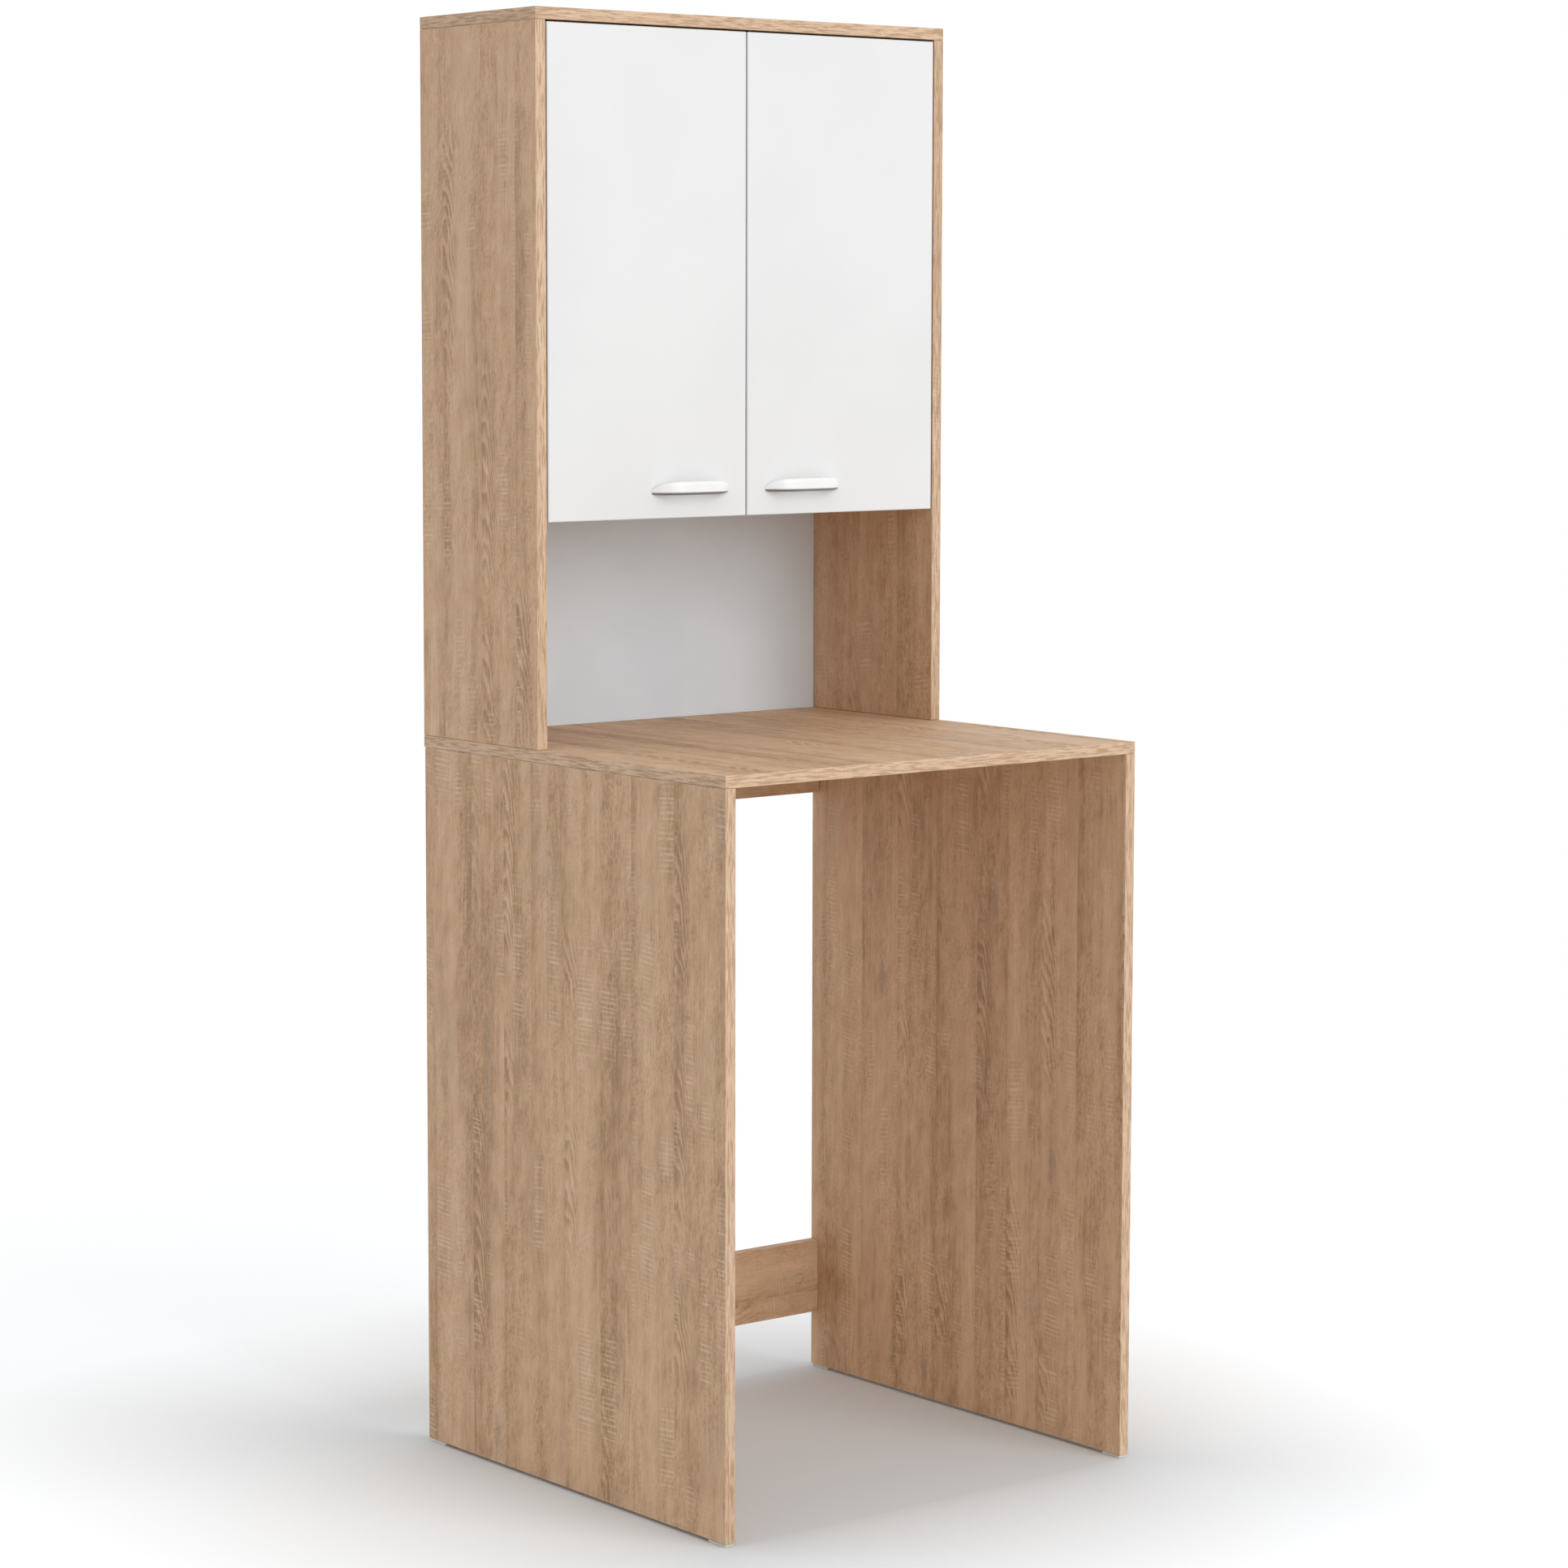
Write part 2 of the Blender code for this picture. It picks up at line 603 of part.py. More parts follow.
def arm_mesh():
    """A cranked arm pressed from sheet, hollow towards the side, with an eye for the pin at its hook."""
    outer_x, base_x, crank_end, rear = arm_places()
    arm = add_object("arm", prism_mesh("arm", arm_outline(), ARM_WIDTH))
    hollow = [
        (outer_x - ARM_SHEET, crank_end + ARM_SHEET),
        (outer_x - ARM_SHEET, rear + OVERRUN),
        (base_x - OVERRUN, rear + OVERRUN),
        (base_x - OVERRUN, crank_end + ARM_SHEET),
    ]
    combine(arm, prism_mesh("hollow", hollow, ARM_WIDTH - 2 * ARM_CHEEK), (0, 0, 0))
    reach = ARM_WIDTH / 2 + OVERRUN
    bore = rod(-reach, reach, HINGE_PIN_RADIUS + TURNING)
    drill(arm, bore, (0, 0, 1), [(0, 0, 0)], PIVOT_SIDES)
    screw = rod(outer_x - ARM_SHEET - OVERRUN, outer_x + OVERRUN, ARM_SCREW_RADIUS)
    screw_places = (crank_end + ARM_SHEET + ARM_SCREW_INSET, rear - ARM_SCREW_INSET)
    drill(arm, screw, (1, 0, 0), [(0, y, 0) for y in screw_places])
    return settled_mesh(arm)


def plate_mesh():
    """A cross-shaped plate on the side, with a raised key that the arm sits over."""
    outer_x, _, crank_end, _ = arm_places()
    wall = -(PIN_FROM_EDGE + DOOR_SIDE_GAP)
    middle_x = wall + SEAT + PLATE_THICKNESS / 2
    screw_y = PLATE_SCREW_SETBACK - PIN_FROM_FRONT
    wings = box_mesh("plate", (PLATE_THICKNESS, PLATE_WING_WIDTH, PLATE_WING_LENGTH))
    plate = add_object("plate", wings, (middle_x, screw_y, 0))
    spine = box_mesh("spine", (PLATE_THICKNESS, PLATE_BODY_LENGTH, PLATE_BODY_WIDTH))
    combine(plate, spine, (middle_x, screw_y, 0), "UNION")
    key_top = outer_x - ARM_SHEET - SEAT
    key_front = crank_end + ARM_SHEET + SEAT
    key_size = (key_top - middle_x, PLATE_KEY_LENGTH, ARM_WIDTH - 2 * ARM_CHEEK - 2 * SEAT)
    key_place = ((key_top + middle_x) / 2, key_front + PLATE_KEY_LENGTH / 2, 0)
    combine(plate, box_mesh("key", key_size), key_place, "UNION")
    reach = PLATE_THICKNESS / 2 + OVERRUN
    screw = rod(middle_x - reach, middle_x + reach, HINGE_SCREW_RADIUS)
    half_spread = PLATE_SCREW_SPREAD / 2
    drill(plate, screw, (1, 0, 0), [(0, screw_y, end * half_spread) for end in (-1, 1)])
    place = plate.location.copy()
    mesh = settled_mesh(plate)
    mesh.transform(Matrix.Translation(place))
    return mesh


def make_hinges(side, hanger):
    """Two hinges on one axis. The cup and the pin swing with the door, the arm and the plate stay."""
    # The pieces are alike above and below, so half a turn about Y makes a right-hand one of them.
    turn = (0, 0, 0) if side == LEFT else (0, math.pi, 0)
    pieces = {"cup": cup_mesh(), "pin": hinge_pin_mesh(), "arm": arm_mesh(), "plate": plate_mesh()}
    for end, level in HINGE_LEVELS.items():
        for piece, mesh in pieces.items():
            name = "_".join((side_name(side), end, "hinge", piece))
            obj = add_object(name, mesh.copy(), (side * AXIS_X, AXIS_Y, level))
            obj.rotation_euler = turn
            finish(obj, "steel")
            if piece in ("cup", "pin"):
                hang(obj, hanger)


def make_wall_bracket(side):
    """An angle of sheet steel in the upper rear corner, one leg on the side and one on the back."""
    leg, sheet = BRACKET_LEG, BRACKET_SHEET
    name = side_name(side) + "_wall_bracket"
    outline = [(0, 0), (leg, 0), (leg, -sheet), (sheet, -sheet), (sheet, -leg), (0, -leg)]
    outline = [(-side * x, y) for x, y in outline]
    top = TOP_UNDER_Z - BRACKET_BELOW_TOP
    place = (side * (INNER_X - SEAT), BACKING_FRONT_Y - SEAT, top - BRACKET_WIDTH / 2)
    bracket = add_object(name, prism_mesh(name, outline, BRACKET_WIDTH), place)
    hole = rod(-OVERRUN, sheet + OVERRUN, BRACKET_HOLE_RADIUS)
    middle = (leg + sheet) / 2
    x, y, z = place
    drill(bracket, hole, (0, -1, 0), [(x - side * middle, y, z)], PIN_SIDES)
    drill(bracket, hole, (-side, 0, 0), [(x, y - middle, z)], PIN_SIDES)
    finish(bracket, "steel")


def make_door_axis(side):
    """An empty on the door's hinge axis, which the door and what is fixed to it hang from."""
    axis = add_object(side_name(side) + "_door_axis", None, (side * AXIS_X, AXIS_Y, 0))
    axis.empty_display_size = BOARD
    return axis


clear_scene()
make_glides()
make_rails()
make_worktop()
make_top_panel()
make_cupboard_floor()
make_back_panel()
make_shelf()
make_shelf_pins()
for cabinet_side in (LEFT, RIGHT):
    make_lower_side(cabinet_side)
    make_upper_side(cabinet_side)
    make_wall_bracket(cabinet_side)
    door_axis = make_door_axis(cabinet_side)
    make_door(cabinet_side, door_axis)
    make_handle(cabinet_side, door_axis)
    make_hinges(cabinet_side, door_axis)
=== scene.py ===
"""The looks of a washing machine cabinet: sawn oak decor, white doors, and the fittings that hold it."""

import math

import bmesh
import bpy
from mathutils import Matrix, Vector


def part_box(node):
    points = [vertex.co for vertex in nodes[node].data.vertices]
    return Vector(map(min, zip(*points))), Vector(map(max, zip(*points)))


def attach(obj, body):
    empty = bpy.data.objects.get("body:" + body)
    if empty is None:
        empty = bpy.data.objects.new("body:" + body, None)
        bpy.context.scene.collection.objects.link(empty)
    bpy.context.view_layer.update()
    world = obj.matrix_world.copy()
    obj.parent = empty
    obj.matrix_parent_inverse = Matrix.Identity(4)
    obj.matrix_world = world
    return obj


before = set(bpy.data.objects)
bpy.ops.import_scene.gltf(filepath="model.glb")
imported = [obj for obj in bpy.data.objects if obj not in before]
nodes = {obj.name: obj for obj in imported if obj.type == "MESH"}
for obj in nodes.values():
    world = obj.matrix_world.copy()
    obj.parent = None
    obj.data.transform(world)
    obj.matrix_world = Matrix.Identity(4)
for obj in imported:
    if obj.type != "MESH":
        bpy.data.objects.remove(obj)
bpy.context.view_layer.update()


# The studio: a pale floor without an end, a white surround and one large soft lamp in front, to the right.
# The camera stands at the left of the front, at eye level, as the photograph was taken.

CAMERA_PLACE = (-3.3623, -4.1269, 1.4435)
CAMERA_TILT, CAMERA_TURN = math.radians(84.458), math.radians(-38.04)
CAMERA_LENS = 97.14
CAMERA_SHIFT = (0.0575, -0.0342)
CAMERA_SENSOR = 36
CAMERA_REACH = 200

camera = bpy.data.objects.new("camera", bpy.data.cameras.new("camera"))
bpy.context.scene.collection.objects.link(camera)
camera.location = CAMERA_PLACE
camera.rotation_euler = (CAMERA_TILT, 0, CAMERA_TURN)
camera.data.sensor_width = CAMERA_SENSOR
camera.data.lens = CAMERA_LENS
camera.data.shift_x, camera.data.shift_y = CAMERA_SHIFT
camera.data.clip_end = CAMERA_REACH
bpy.context.scene.camera = camera
bpy.context.scene.view_settings.view_transform = "Standard"


def add_node(tree, kind, feeds=None, **settings):
    """Adds a shader node. A feed is a number, a colour or another node's output, by socket name or number."""
    made = tree.nodes.new("ShaderNode" + kind)
    for name, value in settings.items():
        setattr(made, name, value)
    for socket, feed in (feeds or {}).items():
        if isinstance(feed, bpy.types.NodeSocket):
            tree.links.new(feed, made.inputs[socket])
        else:
            made.inputs[socket].default_value = feed
    return made


def calculate(tree, operation, first, second=0.0, third=0.0):
    """One sum, product or power of numbers over the surface."""
    return add_node(tree, "Math", {0: first, 1: second, 2: third}, operation=operation).outputs[0]


def ramp(tree, value, low, high, to_low=0.0, to_high=1.0):
    """A soft step from one number to another, as the value goes from low to high."""
    feeds = {"Value": value, "From Min": low, "From Max": high, "To Min": to_low, "To Max": to_high}
    return add_node(tree, "MapRange", feeds, interpolation_type="SMOOTHSTEP").outputs[0]


def blend(tree, share, under, over):
    """Lays one colour over another, with this share of the upper one."""
    return add_node(tree, "Mix", {0: share, 6: under, 7: over}, data_type="RGBA").outputs[2]


def camera_sees(tree):
    """1 for what the camera sees, also in a gloss or through glass, and 0 for light that falls on things."""
    path = add_node(tree, "LightPath")
    seen = calculate(tree, "MAXIMUM", path.outputs["Is Camera Ray"], path.outputs["Is Glossy Ray"])
    return calculate(tree, "MAXIMUM", seen, path.outputs["Is Transmission Ray"])


SURROUND_LEVEL = 0.70
surround = bpy.data.worlds.new("white_surround")
surround.use_nodes = True
bpy.context.scene.world = surround
tree = surround.node_tree
strength = add_node(tree, "MapRange", {"Value": camera_sees(tree), "To Min": SURROUND_LEVEL, "To Max": 1.0})
tree.links.new(strength.outputs[0], tree.nodes["Background"].inputs["Strength"])
tree.nodes["Background"].inputs["Color"].default_value = (1, 1, 1, 1)

LAMP_PLACE, LAMP_AIM = Vector((0.9, -5.0, 2.7)), Vector((0, 0, 0.9))
LAMP_SIZE = 4.0
LAMP_POWER = 108
lamp = bpy.data.objects.new("soft_lamp", bpy.data.lights.new("soft_lamp", "AREA"))
bpy.context.scene.collection.objects.link(lamp)
lamp.location = LAMP_PLACE
lamp.rotation_euler = (LAMP_AIM - LAMP_PLACE).to_track_quat("-Z", "Y").to_euler()
lamp.data.size = LAMP_SIZE
lamp.data.energy = LAMP_POWER

# The floor keeps the cabinet's shadow, with painted shade near its foot. It grows paler outwards, and goes
# over into white.
FLOOR_RADIUS, FLOOR_SIDES = 30, 96
FLOOR_LIT = (0.8, 0.8, 0.8, 1)
FLOOR_PAINTED_SHADE, FLOOR_AROUND = (0.78, 0.81, 0.835, 1), (1.33, 1.36, 1.385, 1)
FOOTPRINT = (0.328, 0.309, 0)
PALE_FROM, SHADOW_REACH, WHITE_FROM = 0.65, 0.5, 1.9
PALING_POWER = 0.6
floor_form = bmesh.new()
bmesh.ops.create_circle(floor_form, cap_ends=True, segments=FLOOR_SIDES, radius=FLOOR_RADIUS)
floor_mesh = bpy.data.meshes.new("studio_floor")
floor_form.to_mesh(floor_mesh)
floor_form.free()
studio_floor = bpy.data.objects.new("studio_floor", floor_mesh)
bpy.context.scene.collection.objects.link(studio_floor)
floor_paint = bpy.data.materials.new("floor_paint")
floor_paint.use_nodes = True
tree = floor_paint.node_tree
tree.nodes.clear()
spot = add_node(tree, "TexCoord").outputs["Object"]
spot = add_node(tree, "VectorMath", {0: spot}, operation="ABSOLUTE").outputs[0]
beyond = add_node(tree, "VectorMath", {0: spot, 1: FOOTPRINT}, operation="SUBTRACT").outputs[0]
beyond = add_node(tree, "VectorMath", {0: beyond, 1: (0, 0, 0)}, operation="MAXIMUM").outputs[0]
away = add_node(tree, "VectorMath", {0: beyond}, operation="LENGTH").outputs["Value"]
# The painted shade near the foot fades with the distance from the footprint.
paling = calculate(tree, "POWER", calculate(tree, "DIVIDE", away, PALE_FROM), PALING_POWER)
share = calculate(tree, "MINIMUM", paling, 1.0)
seen_tone = blend(tree, share, FLOOR_PAINTED_SHADE, FLOOR_AROUND)
matt = add_node(tree, "BsdfDiffuse", {"Color": blend(tree, camera_sees(tree), FLOOR_LIT, seen_tone)})
plain_white = add_node(tree, "Emission", {"Color": (1, 1, 1, 1), "Strength": 1.0})
far = ramp(tree, away, SHADOW_REACH, WHITE_FROM)
far_seen = calculate(tree, "MULTIPLY", far, camera_sees(tree))
floor_look = add_node(tree, "MixShader", {0: far_seen, 1: matt.outputs[0], 2: plain_white.outputs[0]})
add_node(tree, "OutputMaterial", {"Surface": floor_look.outputs[0]})
floor_mesh.materials.append(floor_paint)


# The lower sides: chipboard 15 mm thick under a printed sawn oak film, its grain upright.
# Strips of edge band close the front and the top. The rear and bottom edges are raw chipboard.

OAK_PALE = (0.82, 0.585, 0.395, 1)
OAK_BODY = (0.67, 0.443, 0.277, 1)
OAK_STREAK = (0.425, 0.26, 0.148, 1)
OAK_MAUVE = (0.50, 0.355, 0.268, 1)
OAK_PORE = (0.24, 0.145, 0.082, 1)
OAK_SAW_MARK_AND_HIGHLIGHT = (0.84, 0.655, 0.485, 1)
STRIPS_PER_METRE = 13.0
SAWN_BLOCKS_PER_METRE = 31.0
SAW_MARK_PITCH = 0.0062
FLAME_HALF_WIDTH, FLAME_HALF_LENGTH = 0.011, 0.055
FLAMES_ACROSS, FLAMES_ALONG = 3.1, 1.6
RINGS_PER_METRE = 34.0

# Features per metre, across the grain and along it, and how far each one swings the print's tone.
BROAD_COUNT, STREAK_COUNT, LINE_COUNT, FIBRE_COUNT = (22, 1.0), (95, 3.0), (330, 9), (850, 42)
MOTTLE_COUNT, RIPPLE_COUNT, PORE_COUNT = (64, 30), (270, 200), (900, 60)
TONE_SWING, BROAD_SWING, STREAK_SWING, LINE_SWING = 0.12, 1.25, 0.36, 0.6
MOTTLE_SWING, RIPPLE_SWING, FIBRE_SWING = 0.74, 0.85, 0.42
JOINT_STREAK_DARK, RING_DARK = -0.13, -0.46

# In metres: how far the grain wanders, how far streaks and arches lie from a joint, and a joint's own line.
GRAIN_WANDER, FIBRE_WANDER = 0.032, 0.0042
STREAK_REACH, ARCH_FULL, ARCH_REACH, ARCH_BEND = 0.014, 0.020, 0.034, 0.0085
JOINT_WIDTH = 0.001
SAW_MARK_SHARE, BETWEEN_MARKS_SHARE, PORE_SHARE, JOINT_SHARE = 0.56, 0.14, 0.42, 0.16


def printed_oak():
    """The film's print, as a node group. It takes a place on the board: across the grain, along it, and a
    number that tells one sheet from the next."""
    tree = bpy.data.node_groups.new("printed_oak", "ShaderNodeTree")
    tree.interface.new_socket("Place", in_out="INPUT", socket_type="NodeSocketVector")
    results = (("Color", "NodeSocketColor"), ("Roughness", "NodeSocketFloat"), ("Height", "NodeSocketFloat"))
    for name, kind in results:
        tree.interface.new_socket(name, in_out="OUTPUT", socket_type=kind)
    entry, leave = tree.nodes.new("NodeGroupInput"), tree.nodes.new("NodeGroupOutput")
    axes = add_node(tree, "SeparateXYZ", {0: entry.outputs["Place"]})
    across, along, sheet = axes.outputs[0], axes.outputs[1], axes.outputs[2]

    def plus(*values):
        total = values[0]
        for value in values[1:]:
            total = calculate(tree, "ADD", total, value)
        return total

    def times(*values):
        total = values[0]
        for value in values[1:]:
            total = calculate(tree, "MULTIPLY", total, value)
        return total

    def grain(per_across, per_along, layer, detail=2.0, sideways=across, lengthways=along):
        """Soft noise with its own count of features per metre across and along the grain."""
        feeds = {0: times(sideways, per_across), 1: times(lengthways, per_along), 2: layer}
        place = add_node(tree, "CombineXYZ", feeds).outputs[0]
        return add_node(tree, "TexNoise", {"Vector": place, "Scale": 1.0, "Detail": detail}).outputs["Fac"]

    def swing(noise, reach):
        """Noise about zero, this far to each side."""
        return times(plus(noise, -0.5), reach)

    def cells(place, feature="F1"):
        feeds = {"W": place, "Scale": 1.0, "Randomness": 0.95}
        return add_node(tree, "TexVoronoi", feeds, voronoi_dimensions="1D", feature=feature)

    # The print copies planks glued side by side: each strip has its own tone and its own piece of grain.
    strip_place = plus(times(across, STRIPS_PER_METRE), times(sheet, 7.3))
    strip = cells(strip_place)
    own = add_node(tree, "SeparateColor", {0: strip.outputs["Color"]})
    tone, figure, shift = own.outputs[0], own.outputs[1], own.outputs[2]
    layer = plus(times(sheet, 3.1), times(shift, 41.0))
    half = calculate(tree, "SUBTRACT", strip_place, strip.outputs["W"])
    to_joint = times(cells(strip_place, "DISTANCE_TO_EDGE").outputs["Distance"], 1 / STRIPS_PER_METRE)
    right_half = calculate(tree, "GREATER_THAN", half, 0.0)

    bent = plus(across, swing(grain(6, 2.0, layer), GRAIN_WANDER), swing(grain(55, 9, layer), FIBRE_WANDER))
    broad = grain(*BROAD_COUNT, layer, 2.0, bent)
    streaks = grain(*STREAK_COUNT, layer, 2.0, bent)
    lines = grain(*LINE_COUNT, layer, 1.5, bent)
    lined = ramp(tree, grain(28, 3.5, plus(layer, 3.0)), 0.42, 0.62, 0.25, 1.0)
    slant = plus(along, times(across, 0.55))
    mottle = grain(*MOTTLE_COUNT, plus(layer, 5.0), 2.0, across, slant)
    ripple = grain(*RIPPLE_COUNT, plus(layer, 7.0), 2.0, across, slant)
    rippled = ramp(tree, grain(20, 6, plus(layer, 8.0)), 0.4, 0.62, 0.3, 1.0)
    fibres = grain(*FIBRE_COUNT, layer, 2.0, bent)

    # Dark soft streaks lie along some of the joints.
    beside = times(
        ramp(tree, to_joint, 0.0, STREAK_REACH, 1.0, 0.0),
        ramp(tree, plus(grain(2, 2.2, plus(layer, 11.0)), times(right_half, 0.10)), 0.47, 0.62),
    )

    # Half arches of the growth rings, cut off at a joint: each rises along the grain towards it.
    lift = times(calculate(tree, "POWER", to_joint, 2.0), 1 / ARCH_BEND)
    rise = plus(along, lift, swing(grain(40, 13, layer), 0.085), swing(grain(240, 40, layer), 0.012))
    ring = calculate(tree, "FRACT", times(rise, RINGS_PER_METRE))
    ring_dark = times(ramp(tree, ring, 0.0, 0.75), ramp(tree, ring, 0.8, 1.0, 1.0, 0.0))
    feathered = times(
        ramp(tree, grain(3, 4.2, plus(layer, 13.0), 1.0), 0.50, 0.62),
        ramp(tree, to_joint, ARCH_FULL, ARCH_REACH, 1.0, 0.0),
        ramp(tree, figure, 0.3, 0.5),
        right_half,
    )

    value = plus(
        0.5,
        swing(tone, TONE_SWING),
        swing(broad, BROAD_SWING),
        swing(streaks, STREAK_SWING),
        times(swing(lines, LINE_SWING), lined),
        swing(mottle, MOTTLE_SWING),
        times(swing(ripple, RIPPLE_SWING), rippled),
        swing(fibres, FIBRE_SWING),
        times(beside, JOINT_STREAK_DARK),
        times(plus(ring_dark, -0.35), feathered, RING_DARK),
    )
    darker = add_node(tree, "MapRange", {"Value": value, "From Min": 0.0, "From Max": 0.5}).outputs[0]
    paler = add_node(tree, "MapRange", {"Value": value, "From Min": 0.5, "From Max": 1.0}).outputs[0]
    colour = blend(tree, paler, blend(tree, darker, OAK_STREAK, OAK_BODY), OAK_PALE)
    mauve = ramp(tree, grain(21, 4.6, plus(layer, 4.0)), 0.58, 0.78, 0.0, 0.36)
    colour = blend(tree, mauve, colour, OAK_MAUVE)

    # Here and there a dark flame, as long as a finger. The joints cut it off.
    place_across = plus(times(across, FLAMES_ACROSS), times(shift, 5.7))
    place_along = plus(times(along, FLAMES_ALONG), times(shift, 9.1))
    place = add_node(tree, "CombineXYZ", {0: place_across, 1: place_along, 2: 0.0}).outputs[0]
    flames = add_node(tree, "TexVoronoi", {"Vector": place, "Scale": 1.0}, voronoi_dimensions="2D")
    aside = add_node(tree, "VectorMath", {0: place, 1: flames.outputs["Position"]}, operation="SUBTRACT")
    to_flame = add_node(tree, "SeparateXYZ", {0: aside.outputs[0]}).outputs
    off_across = times(to_flame[0], 1 / FLAMES_ACROSS / FLAME_HALF_WIDTH)
    off_along = times(to_flame[1], 1 / FLAMES_ALONG / FLAME_HALF_LENGTH)
    flame_far = plus(calculate(tree, "ABSOLUTE", off_across), calculate(tree, "ABSOLUTE", off_along))
    flame_far = plus(flame_far, swing(grain(120, 60, layer), 0.9))
    flame = ramp(tree, flame_far, 0.45, 1.0, 1.0, 0.0)
    colour = blend(tree, times(flame, ramp(tree, ripple, 0.35, 0.6, 0.62, 0.3)), colour, OAK_MAUVE)
    colour = blend(tree, times(ramp(tree, flame_far, 0.0, 0.8, 1.0, 0.0), 0.4), colour, OAK_STREAK)

    # Marks of the saw blade across the grain: pale lines in blocks, as wide as two fingers.
    block_place = plus(times(across, SAWN_BLOCKS_PER_METRE), times(shift, 23.0), times(sheet, 5.3))
    block = cells(block_place)
    block_own = add_node(tree, "SeparateColor", {0: block.outputs["Color"]})
    block_edge = ramp(tree, cells(block_place, "DISTANCE_TO_EDGE").outputs["Distance"], 0.0, 0.4)
    block_layer = times(block_own.outputs[0], 37.0)
    sawn = times(ramp(tree, grain(0.5, 5.5, block_layer, 1.0), 0.51, 0.66), block_edge)
    lean = times(across, swing(block_own.outputs[1], 0.3))
    stroke = plus(along, swing(grain(4, 55, block_layer, 1.0), 0.009), lean)
    wave = calculate(tree, "COSINE", times(stroke, math.tau / SAW_MARK_PITCH))
    each = ramp(tree, grain(2, 110, plus(block_layer, 5.0), 0.0), 0.4, 0.62, 0.1, 1.0)
    torn = ramp(tree, grain(75, 160, plus(layer, 2.0)), 0.28, 0.52)
    marks = times(sawn, ramp(tree, wave, -0.15, 0.95), each, torn)
    colour = blend(tree, times(marks, SAW_MARK_SHARE), colour, OAK_SAW_MARK_AND_HIGHLIGHT)
    between = times(sawn, ramp(tree, wave, -1.0, 0.0, 1.0, 0.0), torn)
    colour = blend(tree, times(between, BETWEEN_MARKS_SHARE), colour, OAK_STREAK)

    pores = ramp(tree, grain(*PORE_COUNT, plus(layer, 6.0), 1.0, bent), 0.58, 0.68)
    pores = times(pores, ramp(tree, broad, 0.3, 0.7, 1.0, 0.3))
    colour = blend(tree, times(pores, PORE_SHARE), colour, OAK_PORE)
    open_here = ramp(tree, grain(0.5, 1.2, plus(layer, 17.0)), 0.45, 0.6)
    joint = times(ramp(tree, to_joint, 0.0, JOINT_WIDTH, JOINT_SHARE, 0.0), open_here)
    colour = blend(tree, joint, colour, OAK_STREAK)

    height = plus(0.5, swing(fibres, 0.5), times(pores, -0.5), times(marks, 0.3))
    gloss = plus(0.58, swing(streaks, 0.2), times(pores, 0.12), times(marks, 0.06))
    for socket, value in (("Color", colour), ("Roughness", gloss), ("Height", height)):
        tree.links.new(value, leave.inputs[socket])
    return tree


def start_finish(name):
    """A new material, with its nodes, its shader, and the place of each spot when the doors are shut."""
    material = bpy.data.materials.new(name)
    material.use_nodes = True
    tree = material.node_tree
    return material, tree, tree.nodes["Principled BSDF"], add_node(tree, "TexCoord").outputs


def middle_of(node):
    """The middle of a piece of the frame."""
    low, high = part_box(node)
    return [(a + b) / 2 for a, b in zip(low, high)]


def arris_distance(tree, spot, node):
    """How far a spot on a board is from the nearest of the board's long corners."""
    low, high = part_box(node)
    half = [(b - a) / 2 for a, b in zip(low, high)]
    offset = add_node(tree, "VectorMath", {0: spot, 1: middle_of(node)}, operation="SUBTRACT").outputs[0]
    offset = add_node(tree, "VectorMath", {0: offset}, operation="ABSOLUTE").outputs[0]
    inside = add_node(tree, "VectorMath", {0: half, 1: offset}, operation="SUBTRACT").outputs[0]
    first, second, third = add_node(tree, "SeparateXYZ", {0: inside}).outputs
    smaller, larger = calculate(tree, "MINIMUM", first, second), calculate(tree, "MAXIMUM", first, second)
    return calculate(tree, "MAXIMUM", smaller, calculate(tree, "MINIMUM", larger, third))


def noise_at(tree, spot, scale, detail=2.0):
    """Soft noise with this many features per metre."""
    return add_node(tree, "TexNoise", {"Vector": spot, "Scale": scale, "Detail": detail}).outputs["Fac"]


def bump_from(tree, shader, height, depth, strength=0.5):
    """Raises the surface by a height over it, this deep in metres."""
    bump = add_node(tree, "Bump", {"Strength": strength, "Distance": depth, "Height": height})
    tree.links.new(bump.outputs[0], shader.inputs["Normal"])


def dress(node, material):
    """Gives a piece of the frame its finish."""
    nodes[node].data.materials.clear()
    nodes[node].data.materials.append(material)


OAK_PRINT = printed_oak()
OAK_BAND = (0.77, 0.575, 0.42, 1)
THREADS_PER_METRE = (520.0, 40.0, 1.0)
CHIP_PALE, CHIP_DARK = (0.56, 0.40, 0.24, 1), (0.23, 0.14, 0.075, 1)
ARRIS_HIGHLIGHT_WIDTH = 0.0011
SQUARE_ON = 0.72
JOINT_LINE = 0.0009
FACE_SHIFT, END_BAND_SHIFT, LONG_BAND_SHIFT = 1.7, 4.3, 8.6
FILM_RELIEF, FILM_RELIEF_SHARE = 0.0002, 0.35
AXES = "XYZ"


